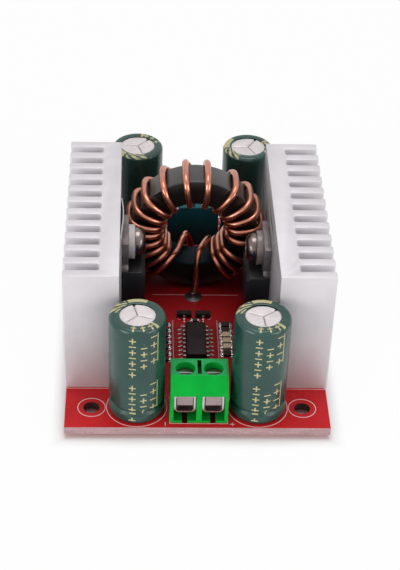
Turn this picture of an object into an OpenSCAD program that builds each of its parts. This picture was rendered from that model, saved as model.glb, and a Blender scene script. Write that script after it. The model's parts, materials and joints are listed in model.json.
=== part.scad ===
// Boost converter module with two finned heat sinks and an upright coil.
// Millimetres, +Z up, +Y towards the output end. The origin is the centre of the base.

/* [Board] */
// Board size across the module, along X
board_w = 48; // [46:0.5:54]
// Board size along Y
board_l = 67; // [62:0.5:80]
// Board thickness
board_t = 1.6; // [1:0.1:2.4]
// Board left outside the capacitors
board_edge = 0.65; // [0.3:0.05:2]
// Diameter of the mounting holes
hole_d = 3; // [2.4:0.1:3.4]
// Distance between mounting holes along X
hole_sx = 38.4; // [37.6:0.1:42]
// Distance between mounting holes along Y
hole_sy = 56.2; // [53:0.1:58]
// Height of the solder joints under the board
solder_h = 1; // [0.6:0.1:2]
// Spread of a solder joint around its lead
solder_flare = 0.55; // [0.3:0.05:0.7]
// Play around each lead in its board hole
lead_gap = 0.12; // [0.05:0.01:0.2]

/* [Heat sinks] */
// Width of a heat sink across the fins
sink_w = 10; // [9:0.1:12]
// Height of a heat sink
sink_h = 25.4; // [23:0.2:32]
// Number of fins on a heat sink
fin_count = 12; // [8:1:14]
// Width of the slots between fins
slot_w = 2; // [1.2:0.1:2.4]
// Thickness of the plate behind the slots
sink_base = 3.5; // [3:0.1:4.5]
// Corner radius at the bottom of a slot
slot_r = 0.5; // [0.2:0.05:0.55]
// Corner radius of the fin tips
tip_r = 0.3; // [0.1:0.05:0.4]
// Diameter of the soldered pins in a heat sink
sink_pin_d = 1.5; // [1:0.1:1.8]
// Depth of the pins in a heat sink
sink_pin_depth = 4; // [2:0.5:6]
// Distance of the pins from the middle of a heat sink
sink_pin_y = 16; // [10:0.5:19]
// Play around a pin in its heat sink
sink_pin_gap = 0.02; // [0.01:0.01:0.05]

/* [Coil] */
// Middle of the coil along X
coil_x = 0.1; // [0:0.05:0.3]
// Distance of the middle of the coil from the rear end of the board
coil_end = 22.2; // [21:0.05:23.5]
// Height of the core above the board
core_lift = 0.85; // [0.5:0.05:2]
// Outer diameter of the core
core_od = 24.7; // [21:0.1:26]
// Inner diameter of the core
core_id = 14.2; // [12.5:0.1:15]
// Thickness of the core along Y
core_t = 6.2; // [5:0.1:8]
// Edge radius of the core
core_edge = 0.4; // [0.3:0.05:1.2]
// Diameter of the coil wire
wire_d = 1.3; // [0.9:0.05:1.35]
// Gap between wire and core
wire_gap = 0.08; // [0.06:0.01:0.2]
// Number of turns
turns = 19; // [12:1:20]
// Angle that the turns spread over
coil_span = 275; // [240:1:280]
// Extra spread of the turns at the top, in degrees
coil_spread = 4; // [0:0.5:6]
// Angle of the leads in the hole, from the top
lead_turn = 157; // [153:1:160]
// Distance of the coil leads in front of the turns
lead_out = 1.95; // [1.6:0.05:2.2]
// Sideways shift of a lead where it leaves the core
lead_shift = 1; // [0.5:0.05:1.4]
// Height above the board where a lead turns straight down
lead_foot = 0.5; // [0.3:0.05:1]
// Gap between the turns and each heat sink
coil_side = 0.47; // [0.35:0.01:1.6]

/* [Capacitors] */
// Diameter over the sleeve
cap_d = 10.1; // [9:0.1:10.6]
// Height above the board
cap_h = 21.2; // [16:0.1:25]
// Gap between a front capacitor and the front terminal block
cap_side = 0.55; // [0.3:0.05:1.5]
// Gap between a rear capacitor and the rear end of the board
rear_edge = 0.2; // [0.1:0.05:1]
// Gap between the rear left capacitor and the rear terminal block
rear_left_side = 1.25; // [0.6:0.05:1.5]
// Gap between the rear right capacitor and the rear terminal block
rear_right_side = 0.6; // [0.3:0.05:1.5]
// Gap between a capacitor and the end of the heat sinks along Y
cap_gap = 0.35; // [0.2:0.05:1]
// Thickness of the sleeve
sleeve_t = 0.12; // [0.08:0.01:0.2]
// Gap between sleeve and can
sleeve_gap = 0.02; // [0.01:0.01:0.05]
// Diameter of the bare disc on top
cap_disc_d = 6.5; // [5.5:0.1:7.5]
// Width of the sleeve folded under the foot
foot_lap = 0.85; // [0.5:0.05:0.95]
// Edge radius of a capacitor
cap_edge = 0.8; // [0.4:0.05:1.1]
// Height of the crimp groove
groove_z = 2.7; // [2.2:0.1:3.5]
// Depth of the crimp groove
groove_depth = 0.4; // [0.2:0.05:0.5]
// Radius of the crimp groove
groove_r = 0.9; // [0.7:0.05:1.1]
// Diameter of the rubber seal
seal_d = 8; // [6:0.1:8.2]
// Thickness of the rubber seal
seal_t = 0.8; // [0.5:0.1:1.2]
// Height of the seal above the board
seal_z = 0.3; // [0.2:0.05:0.4]
// Distance between capacitor leads
cap_pitch = 5; // [3.5:0.1:5.5]
// Diameter of the capacitor leads
cap_lead_d = 0.7; // [0.5:0.05:0.9]

/* [Terminal blocks] */
// Sideways offset of the front terminal block
term_x = 0.2; // [0:0.05:0.3]
// Distance of the front terminal block from the board edge
term_edge = 1.3; // [0.5:0.05:2]
// Sideways offset of the rear terminal block
rear_term_x = 0.35; // [0:0.05:0.5]
// Distance of the rear terminal block from the board edge
rear_term_edge = 3; // [1:0.05:4]
// Distance between poles
term_pole = 5.1; // [5:0.02:5.5]
// Wall between the wire entries
term_mid = 1; // [0.6:0.05:1.2]
// Wall beside the wire entries
term_side = 0.6; // [0.4:0.05:0.7]
// Depth of a wire entry in front of its contact plate
entry_depth = 0.7; // [0.5:0.05:1]
// Wall behind the contacts
term_back = 0.6; // [0.4:0.05:0.9]
// Floor thickness under a wire entry
term_floor = 0.45; // [0.3:0.05:0.8]
// Width of the slot in the floor of a wire entry
floor_slot = 1; // [0.6:0.05:1.4]
// Depth of the flat top
term_top = 4.65; // [4.4:0.05:4.7]
// Height of the wall between a wire entry and the sloping front
term_brow = 0.3; // [0.2:0.05:0.6]
// Thickness of the ledge under a screw head
ledge_t = 0.35; // [0.25:0.05:0.6]
// Depth of a screw head in its well
head_sink = 1.35; // [0.5:0.05:1.5]
// Width of the groove in the top
notch_w = 0.7; // [0.4:0.05:1]
// Depth of the groove in the top
notch_h = 1.5; // [0.5:0.1:1.7]
// Distance of the groove from the ends of the flat top
notch_end = 0.4; // [0.2:0.05:0.8]
// Diameter of a clamp screw head
clamp_head_d = 3.44; // [3.2:0.02:3.6]
// Height of a clamp screw head
clamp_head_h = 0.7; // [0.6:0.05:0.9]
// Distance of a clamp screw from the front of its housing
clamp_y = 4.34; // [4.2:0.02:4.5]
// Diameter of a clamp screw
clamp_d = 2.3; // [2:0.05:2.4]
// Running play of the clamp screws
clamp_gap = 0.06; // [0.03:0.01:0.08]
// Width of the driver slots
driver_w = 0.6; // [0.4:0.05:0.8]
// Depth of the driver slots
driver_h = 0.4; // [0.2:0.05:0.45]
// Travel of a cage up to the clamped end
cage_lift = 1.35; // [0.8:0.05:1.5]
// Travel of a cage down to the open end
cage_drop = 0.8; // [0.6:0.05:1.3]
// Clearance at the ends of the travel
stop_gap = 0.05; // [0.03:0.01:0.1]
// Room under a fully lowered cage
cage_room = 0.15; // [0.1:0.05:0.8]
// Sliding play of the cages and contacts
cage_gap = 0.1; // [0.05:0.01:0.12]
// Side wall of a cage
cage_t = 0.36; // [0.3:0.01:0.55]
// Rim of a cage around its screw hole
cage_rim = 0.33; // [0.25:0.01:0.5]
// Thickness of a cage floor
cage_floor = 0.65; // [0.5:0.05:0.8]
// Thickness of a cage top
cage_top = 0.6; // [0.5:0.05:0.8]
// Lower corner radius of a cage
cage_r = 0.75; // [0.3:0.05:0.8]
// Thickness of a contact tongue
tongue_t = 0.5; // [0.4:0.05:0.6]
// Height of the contact plate in front of a cage
plate_h = 2.55; // [1.5:0.05:2.8]
// Thickness of the upright contact metal
plate_t = 0.4; // [0.3:0.05:0.5]
// Gap over the contact plate in a wire entry
plate_gap = 0.15; // [0.1:0.05:0.3]
// Width of a contact pin
term_pin_w = 1; // [0.8:0.05:1.2]

/* [Power devices] */
// Gap between the left device and the turns along Y
left_room = 0.32; // [0.1:0.01:2]
// Gap between the right device and the turns along Y
right_room = 1.92; // [0.1:0.01:3]
// Width of a device
pkg_w = 10.2; // [9.8:0.1:10.6]
// Height of a moulded body
pkg_h = 9.2; // [8.6:0.1:9.8]
// Thickness of a device
pkg_t = 4.5; // [4.2:0.05:4.8]
// Slope on the top front edge of a body
pkg_slope = 0.7; // [0.3:0.05:1.2]
// Height of a body above the board
pkg_z = 3.3; // [2.5:0.1:4]
// Thickness of a tab
tab_t = 1.3; // [1.1:0.05:1.4]
// Height of a tab above its body
tab_h = 6.5; // [6.2:0.1:6.8]
// Width of a tab
tab_w = 10; // [9.6:0.1:10.4]
// Width of a tab inside its body
tab_in_w = 8.4; // [7.5:0.1:9]
// Moulding below a tab
tab_in_z = 0.6; // [0.3:0.1:1.5]
// Radius of the notches in a tab
tab_notch_r = 0.7; // [0.3:0.05:0.9]
// Distance of the screw hole below the tab top
tab_hole_drop = 2.8; // [2.5:0.05:3]
// Diameter of the screw hole in a tab
tab_hole_d = 3.7; // [3.5:0.05:3.9]
// Thickness of an insulating film
film_t = 0.22; // [0.1:0.01:0.3]
// Width of an insulating film
film_w = 13.4; // [11:0.1:15]
// Top of an insulating film above the board
film_top = 21.6; // [19.5:0.1:23]
// Bottom of an insulating film above the board
film_bottom = 1.5; // [0.5:0.1:2.5]
// Diameter of an insulating bush
bush_d = 6.6; // [5.8:0.1:7]
// Thickness of the bush flange
bush_t = 1.25; // [0.8:0.05:1.4]
// Diameter of a fixing screw
screw_d = 3; // [2.5:0.05:3.1]
// Play around a fixing screw and bush
screw_gap = 0.03; // [0.02:0.01:0.06]
// Length of a fixing screw in its heat sink
screw_bite = 2.6; // [2:0.1:2.9]
// Room past the end of a fixing screw
screw_room = 0.3; // [0.1:0.05:0.5]
// Diameter of a fixing screw head
screw_head_d = 5.6; // [5:0.1:6]
// Height of a fixing screw head
screw_head_h = 2; // [1.6:0.1:2.2]
// Edge radius of a fixing screw head
screw_head_r = 1.4; // [0.8:0.1:1.5]
// Length of the cross recess in a fixing screw
cross_l = 3.2; // [2.4:0.1:3.6]
// Depth of the cross recess in a fixing screw
cross_h = 1; // [0.6:0.1:1.2]
// Distance between device leads
pkg_pitch = 2.54; // [2.5:0.01:2.7]
// Width of a device lead
pkg_lead_w = 0.8; // [0.6:0.05:0.9]
// Thickness of a device lead
pkg_lead_t = 0.5; // [0.4:0.05:0.6]
// Width of the upper part of a device lead
pkg_neck_w = 1.3; // [1:0.05:1.5]
// Length of the upper part of a device lead
pkg_neck_h = 1.8; // [1:0.1:2.2]
// Distance of the leads from the back of a device
pkg_lead_x = 2.5; // [2.3:0.05:2.7]

/* [Trimmers] */
// Width of a trimmer
trim_w = 4.8; // [4.2:0.1:5.2]
// Length of a trimmer
trim_l = 9.5; // [8.5:0.1:10.5]
// Height of a trimmer
trim_h = 10; // [8:0.1:11]
// Gap between a trimmer and its capacitor along Y
trim_room = 0.8; // [0.3:0.1:1.5]
// Gap between a trimmer and its heat sink
trim_gap = 0.15; // [0.05:0.05:0.25]
// Diameter of an adjusting screw
trim_screw_d = 2.2; // [1.8:0.1:2.4]
// Depth of an adjusting screw in its trimmer
trim_screw_depth = 1.6; // [1.2:0.1:2.4]
// Height of an adjusting screw above its trimmer
trim_screw_out = 0.4; // [0.2:0.05:0.6]
// Running play around an adjusting screw
trim_screw_gap = 0.05; // [0.02:0.01:0.08]
// Distance of an adjusting screw from the end of its trimmer
trim_screw_end = 1.9; // [1.7:0.1:2.4]
// Distance of an adjusting screw from the inner side of its trimmer
trim_screw_x = 1.6; // [1.5:0.1:2.4]
// Distance between trimmer pins
trim_pitch = 2.54; // [2.5:0.01:2.7]
// Diameter of a trimmer pin
trim_pin_d = 0.6; // [0.5:0.05:0.7]

/* [Controller] */
// Middle of the controller along X
ic_x = 0.24; // [0:0.02:0.4]
// Middle of the controller along Y
ic_y = -9.6; // [-10.4:0.05:-9]
// Width of the controller body
ic_w = 3.9; // [3.6:0.05:4.1]
// Length of the controller body
ic_l = 9.9; // [9.4:0.05:10.4]
// Height of the controller body
ic_h = 1.48; // [1.2:0.02:1.8]
// Gap under the moulded bodies
mould_z = 0.12; // [0.08:0.01:0.2]
// Slope on the sides of the moulded bodies
mould_slope = 0.18; // [0.1:0.01:0.25]
// Number of controller leads on a side
ic_leads = 8; // [4:1:8]
// Distance between controller leads
ic_pitch = 1.27; // [1.1:0.01:1.3]
// Width over the controller leads
ic_span = 6; // [5.8:0.05:6.4]
// Width of a controller lead
ic_lead_w = 0.42; // [0.3:0.02:0.5]
// Thickness of the small leads
leg_t = 0.2; // [0.12:0.01:0.25]
// Foot length of the small leads
foot_l = 0.7; // [0.5:0.05:0.8]

/* [Transistors] */
// Transistor positions from the middle along X
sot_x = 1.85; // [1.7:0.02:2]
// Gap between the controller and the transistor leads
sot_room = 2.4; // [2:0.05:3]
// Length of a transistor body
sot_l = 2.9; // [2.6:0.05:3.1]
// Width of a transistor body
sot_w = 1.3; // [1.2:0.05:1.4]
// Height of a transistor body
sot_h = 0.98; // [0.8:0.02:1.1]
// Width over the transistor leads
sot_span = 2.8; // [2.7:0.05:2.9]
// Distance between the paired transistor leads
sot_pitch = 1.9; // [1.7:0.05:2]
// Width of a transistor lead
sot_lead_w = 0.45; // [0.35:0.05:0.5]

/* [Chips] */
// Distance between chips in a column
chip_pitch = 1.8; // [1.7:0.02:2]
// Number of chips in the left column
left_chips = 7; // [4:1:8]
// Gap between the left column and the controller leads
left_gap = 1.9; // [1:0.05:2.2]
// Gap between the right column and the controller leads
right_gap = 1.8; // [1:0.05:2.2]
// Length of a small chip
chip_l = 1.6; // [1.4:0.05:1.8]
// Width of a small chip
chip_w = 0.8; // [0.7:0.05:0.9]
// Height of a small chip
chip_h = 0.5; // [0.4:0.05:0.7]
// Length of a large chip
big_l = 2.2; // [2:0.05:2.4]
// Width of a large chip
big_w = 1.3; // [1.1:0.05:1.5]
// Height of a large chip
big_h = 0.8; // [0.5:0.05:1]
// Length of a chip's metal end
chip_end = 0.35; // [0.25:0.05:0.4]
// Distance of the loose chip from the controller body
loose_gap = 1.8; // [1.4:0.05:2]

/* [Hidden] */
$fn = 48;
// Reach of each cut past the face it opens
cut = 1;
top_z = solder_h + board_t;
wire_r = wire_d / 2;
loop_r = core_edge + wire_gap + wire_r;
loop_in = core_id / 2 + core_edge;
loop_out = core_od / 2 - core_edge;
loop_y = core_t / 2 - core_edge;
loop_face = loop_y + loop_r;
coil_y = board_l / 2 - coil_end;
coil_z = core_lift + core_od / 2;
coil_front = coil_y - loop_face - wire_r;
coil_lead = loop_face + lead_out;
lead_low = coil_z - core_id / 2 - lead_out;
wire_sides = 8;
lead_steps = 3;
sink_in = coil_x + core_od / 2 + wire_gap + wire_d + coil_side;
sink_l = board_l - 2 * (board_edge + cap_d + cap_gap);
slot_depth = sink_w - sink_base;
fin_w = (sink_l - (fin_count - 1) * slot_w) / fin_count;
fin_pitch = fin_w + slot_w;
sink_pin_x = sink_in + sink_base / 2;
pkg_back = sink_in - film_t;
pkg_front = pkg_back - pkg_t;
tab_front = pkg_back - tab_t;
tab_z = top_z + pkg_z + pkg_h;
screw_z = tab_z + tab_h - tab_hole_drop;
pkg_leg_x = pkg_back - pkg_lead_x;
left_y = coil_front - left_room - pkg_w / 2;
right_y = coil_front - right_room - pkg_w / 2;
term_entry = term_pole - term_mid;
term_w = term_pole + term_entry + 2 * term_side;
plate_y = entry_depth + cage_gap;
cage_y = plate_y + plate_t + cage_gap;
cage_hole_y = clamp_y - cage_y;
cage_l = cage_hole_y + clamp_d / 2 + clamp_gap + cage_rim;
bay_y = cage_y - cage_gap;
leg_y = cage_y + cage_l + cage_gap;
term_d = leg_y + plate_t + cage_gap + term_back;
// Middle and outer end of the front block, and of the rear one once it is turned round
term_spots = [[term_x, term_edge - board_l / 2], [-rear_term_x, rear_term_edge - board_l / 2]];
cage_w = term_entry - 2 * cage_gap;
cage_z = term_floor + cage_room + cage_drop;
cage_window = cage_lift + cage_drop + tongue_t + 2 * stop_gap;
cage_h = cage_floor + cage_window + cage_top;
tongue_z = cage_z + cage_floor + cage_lift + stop_gap;
tongue_w = cage_w - 2 * cage_t - 2 * cage_gap;
plate_z = tongue_z + plate_h;
entry_z = plate_z + plate_gap;
slope_z = entry_z + term_brow;
ledge_z = cage_z + cage_h + cage_lift + stop_gap + ledge_t;
clamp_end_z = tongue_z + tongue_t + cage_gap;
term_h = ledge_z + clamp_head_h + head_sink;
cap_x = term_x + term_w / 2 + cap_side + cap_d / 2;
cap_y = board_l / 2 - board_edge - cap_d / 2;
can_r = cap_d / 2 - sleeve_t - sleeve_gap;
can_z = sleeve_t + sleeve_gap;
cap_foot_d = cap_d - 2 * foot_lap;
trim_x = sink_in - trim_gap - trim_w / 2;
trim_y = cap_y - cap_d / 2 - trim_room - trim_l / 2;
sot_y = ic_y + ic_l / 2 + sot_room + sot_span / 2;
chip_first_y = ic_y + ic_leads / 2 * ic_pitch + chip_w;
chip_left_x = ic_x - ic_span / 2 - left_gap - chip_l / 2;
chip_right_x = ic_x + ic_span / 2 + right_gap + big_l / 2;
rear_cap_y = board_l / 2 - rear_edge - cap_d / 2;
// Middles of the four capacitors: front left, front right, rear left, rear right
cap_spots = [[-cap_x, -cap_y], [cap_x, -cap_y],
  [rear_term_x - term_w / 2 - rear_left_side - cap_d / 2, rear_cap_y],
  [rear_term_x + term_w / 2 + rear_right_side + cap_d / 2, rear_cap_y]];
// Rows of the right column with resistors, and those with capacitors
resistor_rows = [0, 1, 5];
capacitor_rows = [2, 3, 4];

// Helpers

// A vertical lead from the underside of the board up to height z above it
module lead(x, y, d, z) {
  translate([x, y, solder_h])
    cylinder(h = board_t + z, d = d);
}

// Both leads of capacitor i
module at_cap_leads(i) {
  for (s = [-1, 1])
    translate([cap_spots[i][0] + s * cap_pitch / 2, cap_spots[i][1], 0])
      children();
}

// The pins of both terminal blocks
module at_term_pins() {
  for (i = [0, 1])
    rotate([0, 0, 180 * i])
      translate([term_spots[i][0], term_spots[i][1] + leg_y + plate_t / 2, 0])
        for (s = [-1, 1])
          translate([s * term_pole / 2, 0, 0])
            children();
}

// The three leads of the power device on one side
module at_pkg_leads(side) {
  for (k = [-1, 0, 1])
    translate([side * pkg_leg_x, (side < 0 ? left_y : right_y) + k * pkg_pitch, 0])
      children();
}

// Both ends of the winding
module at_coil_leads() {
  for (s = [-1, 1])
    translate([coil_x, coil_y + s * coil_lead, 0])
      children();
}

// The three pins of the trimmer on one side
module at_trim_pins(side) {
  for (k = [-1, 0, 1])
    translate([side * trim_x, -trim_y + k * trim_pitch, 0])
      children();
}

// The pins of both heat sinks
module at_sink_pins() {
  for (sx = [-1, 1])
    for (sy = [-1, 1])
      translate([sx * sink_pin_x, sy * sink_pin_y, 0])
        children();
}

// A board hole with play around a lead of diameter d
module lead_hole(d) {
  translate([0, 0, solder_h - cut])
    cylinder(h = board_t + 2 * cut, d = d + 2 * lead_gap);
}

// A rectangle from [x0, y0] to [x1, y1] with all four corners rounded
module round_rect(x0, y0, x1, y1, r) {
  translate([x0 + r, y0])
    square([x1 - x0 - 2 * r, y1 - y0]);
  translate([x0, y0 + r])
    square([x1 - x0, y1 - y0 - 2 * r]);
  for (x = [x0 + r, x1 - r])
    for (y = [y0 + r, y1 - r])
      translate([x, y])
        circle(r);
}

// Turns children drawn for the right-hand side to the left when side is -1
module on_side(side) {
  rotate([0, 0, side < 0 ? 180 : 0])
    children();
}

// Local Y of a device on its turned side
function side_y(side) = side < 0 ? -left_y : right_y;

// Board

module circuit_board() {
  color([0.72, 0.1, 0.12])
    difference() {
      translate([-board_w / 2, -board_l / 2, solder_h])
        cube([board_w, board_l, board_t]);
      for (sx = [-1, 1])
        for (sy = [-1, 1])
          translate([sx * hole_sx / 2, sy * hole_sy / 2, solder_h - cut])
            cylinder(h = board_t + 2 * cut, d = hole_d);
      for (i = [0:3])
        at_cap_leads(i)
          lead_hole(cap_lead_d);
      at_term_pins()
        lead_hole(norm([term_pin_w, plate_t]));
      for (side = [-1, 1]) {
        at_pkg_leads(side)
          lead_hole(norm([pkg_lead_w, pkg_lead_t]));
        at_trim_pins(side)
          lead_hole(trim_pin_d);
      }
      at_coil_leads()
        lead_hole(wire_d);
      at_sink_pins()
        lead_hole(sink_pin_d);
    }
}

// One solder cone under the board for a lead of diameter d
module solder_cone(d) {
  cylinder(h = solder_h, r1 = d / 2, r2 = d / 2 + solder_flare);
}

module solder_joints() {
  color([0.75, 0.75, 0.76]) {
    for (i = [0:3])
      at_cap_leads(i)
        solder_cone(cap_lead_d);
    at_term_pins()
      solder_cone(term_pin_w);
    for (side = [-1, 1]) {
      at_pkg_leads(side)
        solder_cone(pkg_lead_w);
      at_trim_pins(side)
        solder_cone(trim_pin_d);
    }
    at_coil_leads()
      solder_cone(wire_d);
    at_sink_pins()
      solder_cone(sink_pin_d);
  }
}

// Heat sinks

// One slot with rounded inner corners, open towards +X
module slot_shape() {
  translate([slot_r, 0])
    square([slot_depth + cut - slot_r, slot_w]);
  translate([0, slot_r])
    square([slot_depth, slot_w - 2 * slot_r]);
  translate([slot_r, slot_r])
    circle(slot_r);
  translate([slot_r, slot_w - slot_r])
    circle(slot_r);
}

// What the rounding takes off one corner of a fin tip
module tip_cut(s) {
  difference() {
    translate([-tip_r, s > 0 ? -tip_r : 0])
      square([tip_r + cut, tip_r]);
    translate([-tip_r, s * -tip_r])
      circle(tip_r);
    translate([-tip_r - cut, s > 0 ? -tip_r : 0])
      square([cut, tip_r]);
  }
}

module sink_shape() {
  difference() {
    translate([sink_in, -sink_l / 2])
      square([sink_w, sink_l]);
    for (i = [0:fin_count - 2])
      translate([sink_in + sink_base, -sink_l / 2 + fin_w + i * fin_pitch])
        slot_shape();
    for (i = [0:fin_count - 1]) {
      translate([sink_in + sink_w, -sink_l / 2 + i * fin_pitch])
        tip_cut(-1);
      translate([sink_in + sink_w, -sink_l / 2 + fin_w + i * fin_pitch])
        tip_cut(1);
    }
  }
}

module heatsink(side) {
  color([0.85, 0.85, 0.86])
    on_side(side)
      difference() {
        translate([0, 0, top_z])
          linear_extrude(sink_h)
            sink_shape();
        translate([sink_in - cut, side_y(side), screw_z])
          rotate([0, 90, 0])
            cylinder(h = screw_bite + screw_room + cut, d = screw_d + 2 * screw_gap);
        for (s = [-1, 1])
          translate([sink_pin_x, s * sink_pin_y, top_z - cut])
            cylinder(h = sink_pin_depth + cut, d = sink_pin_d + 2 * sink_pin_gap);
      }
}

module left_heatsink() {
  heatsink(-1);
}

module right_heatsink() {
  heatsink(1);
}

module heatsink_pins() {
  color([0.75, 0.75, 0.76])
    at_sink_pins()
      lead(0, 0, sink_pin_d, sink_pin_depth);
}

// Coil

module coil_core() {
  color([0.1, 0.1, 0.11])
    translate([coil_x, coil_y, top_z + coil_z])
      rotate([90, 0, 0])
        rotate_extrude($fn = 96)
          round_rect(core_id / 2, -core_t / 2, core_od / 2, core_t / 2, core_edge);
}

// Angle of turn i, clockwise from the top as seen from the front
function turn_at(i) = let (u = i / (turns - 1) - 0.5)
  coil_span * u + coil_spread * sin(360 * u);

// Point on the loop around the core section: corner c, step s of three, at angle a
function loop_point(c, s, a) = let (
    t = 180 + 90 * c + 30 * s,
    r = (c == 0 || c == 3 ? loop_in : loop_out) + loop_r * cos(t),
    y = (c < 2 ? -loop_y : loop_y) + loop_r * sin(t))
  [r * sin(a), y, coil_z + r * cos(a), a];

// Share of the way out from the turns at share u of the way down
function ease(u) = (1 - cos(180 * u)) / 2;

// One lead from the face of the coil to the board, with e = 1 at the back and -1 at the front
function lead_points(e) = concat(
  [for (i = [0:lead_steps])
    let (u = i / lead_steps)
      [-e * lead_shift * (1 - u), e * (loop_face + lead_out * ease(u)),
        lead_low + (lead_foot - lead_low) * u, -e * (lead_turn + (180 - lead_turn) * u)]],
  [[0, e * coil_lead, -board_t, -e * 180]]);

start_lead = lead_points(1);
end_lead = lead_points(-1);
wire_path = concat(
  [for (i = [len(start_lead) - 1:-1:0]) start_lead[i]],
  [for (s = [0:3]) loop_point(3, s, -lead_turn)],
  [for (i = [0:turns - 1])
    for (c = [0:3])
      for (s = [0:3])
        loop_point(c, s, c < 3 ? turn_at(i) : (turn_at(i) + turn_at(i + 1)) / 2)],
  [for (s = [0:3]) loop_point(0, s, lead_turn)],
  end_lead);
path_last = len(wire_path) - 1;

function xyz(p) = [p[0], p[1], p[2]];

function unit(v) = v / norm(v);

// Direction of the wire at point i
function along(i) = unit(xyz(wire_path[min(i + 1, path_last)]) - xyz(wire_path[max(i - 1, 0)]));

// Direction around the core at point i, made square to the wire
function across(i) = let (
    a = wire_path[i][3],
    d = [cos(a), 0, -sin(a)],
    t = along(i))
  unit(d - (d * t) * t);

wire_points = [for (i = [0:path_last])
  let (n = across(i), b = cross(along(i), n))
    for (k = [0:wire_sides - 1])
      xyz(wire_path[i]) + wire_r * (cos(360 / wire_sides * k) * n + sin(360 / wire_sides * k) * b)];

function wire_id(i, k) = i * wire_sides + k % wire_sides;

wire_faces = concat(
  [[for (k = [0:wire_sides - 1]) wire_id(0, k)]],
  [for (i = [0:path_last - 1])
    for (k = [0:wire_sides - 1])
      for (f = [[wire_id(i, k), wire_id(i + 1, k), wire_id(i + 1, k + 1)],
                [wire_id(i, k), wire_id(i + 1, k + 1), wire_id(i, k + 1)]])
        f],
  [[for (k = [wire_sides - 1:-1:0]) wire_id(path_last, k)]]);

module coil_winding() {
  color([0.8, 0.45, 0.3])
    translate([coil_x, coil_y, top_z])
      polyhedron(wire_points, wire_faces, convexity = 10);
}

// Capacitors

// Half section of a capacitor: radius r, from z0 to z1, with the crimp groove cut by radius g
module cap_section(r, z0, z1, e, g) {
  difference() {
    intersection() {
      round_rect(-r, z0, r, z1, e);
      translate([0, z0])
        square([r, z1 - z0]);
    }
    translate([cap_d / 2 - groove_depth + groove_r, groove_z])
      circle(g);
  }
}

// Places capacitor i on the board
module at_cap(i) {
  translate([cap_spots[i][0], cap_spots[i][1], top_z])
    children();
}

module cap_can(i) {
  color([0.86, 0.86, 0.87])
    at_cap(i)
      difference() {
        rotate_extrude($fn = 64)
          cap_section(can_r, can_z, cap_h - can_z, cap_edge - can_z, groove_r + can_z);
        translate([0, 0, -cut])
          cylinder(h = seal_z + seal_t + cut, d = seal_d + 2 * sleeve_gap);
      }
}

module cap_sleeve(i) {
  color([0.05, 0.3, 0.3])
    at_cap(i)
      rotate_extrude($fn = 64)
        difference() {
          cap_section(cap_d / 2, 0, cap_h, cap_edge, groove_r);
          cap_section(cap_d / 2 - sleeve_t, sleeve_t, cap_h - sleeve_t, cap_edge - sleeve_t,
            groove_r + sleeve_t);
          translate([0, cap_h - cut])
            square([cap_disc_d / 2, 2 * cut]);
          translate([0, -cut])
            square([cap_foot_d / 2, 2 * cut]);
        }
}

module cap_seal(i) {
  color([0.12, 0.12, 0.12])
    at_cap(i)
      translate([0, 0, seal_z])
        cylinder(h = seal_t, d = seal_d);
}

module cap_leads(i) {
  color([0.75, 0.75, 0.76])
    at_cap_leads(i)
      lead(0, 0, cap_lead_d, seal_z);
}

module front_left_can() {
  cap_can(0);
}

module front_left_sleeve() {
  cap_sleeve(0);
}

module front_left_seal() {
  cap_seal(0);
}

module front_left_leads() {
  cap_leads(0);
}

module front_right_can() {
  cap_can(1);
}

module front_right_sleeve() {
  cap_sleeve(1);
}

module front_right_seal() {
  cap_seal(1);
}

module front_right_leads() {
  cap_leads(1);
}

module rear_left_can() {
  cap_can(2);
}

module rear_left_sleeve() {
  cap_sleeve(2);
}

module rear_left_seal() {
  cap_seal(2);
}

module rear_left_leads() {
  cap_leads(2);
}

module rear_right_can() {
  cap_can(3);
}

module rear_right_sleeve() {
  cap_sleeve(3);
}

module rear_right_seal() {
  cap_seal(3);
}

module rear_right_leads() {
  cap_leads(3);
}

// Terminal blocks, drawn with the wire entries at Y = 0 facing -Y

// Places a block at the front (i = 0) or turned round at the rear (i = 1)
module at_term(i) {
  rotate([0, 0, 180 * i])
    translate([term_spots[i][0], term_spots[i][1], top_z])
      children();
}

// Extrudes a side view (Y, Z) to width w about X = 0
module side_view(w) {
  translate([-w / 2, 0, 0])
    rotate([90, 0, 90])
      linear_extrude(w)
        children();
}

module term_housing(i) {
  color([0.05, 0.6, 0.2])
    at_term(i)
      difference() {
        side_view(term_w)
          polygon([[0, 0], [0, slope_z], [term_d - term_top, term_h], [term_d, term_h], [term_d, 0]]);
        for (s = [-1, 1])
          translate([s * term_pole / 2, 0, 0]) {
            translate([-term_entry / 2, bay_y, term_floor])
              cube([term_entry, term_d - bay_y - term_back, ledge_z - ledge_t - term_floor]);
            translate([-term_entry / 2, -cut, term_floor])
              cube([term_entry, bay_y + 2 * cut, entry_z - term_floor]);
            translate([-floor_slot / 2, -cut, -cut])
              cube([floor_slot, clamp_y + cut, term_floor + 2 * cut]);
            translate([0, clamp_y, ledge_z])
              cylinder(h = term_h, d = clamp_head_d + 2 * clamp_gap);
            translate([0, clamp_y, ledge_z - ledge_t - cut])
              cylinder(h = ledge_t + 2 * cut, d = clamp_d + 2 * clamp_gap);
            translate([-term_pin_w / 2 - cage_gap, leg_y - cage_gap, -cut])
              cube([term_pin_w + 2 * cage_gap, plate_t + 2 * cage_gap, term_floor + 2 * cut]);
          }
        translate([-notch_w / 2, term_d - term_top + notch_end, term_h - notch_h])
          cube([notch_w, term_top - 2 * notch_end, notch_h + cut]);
      }
}

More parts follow.
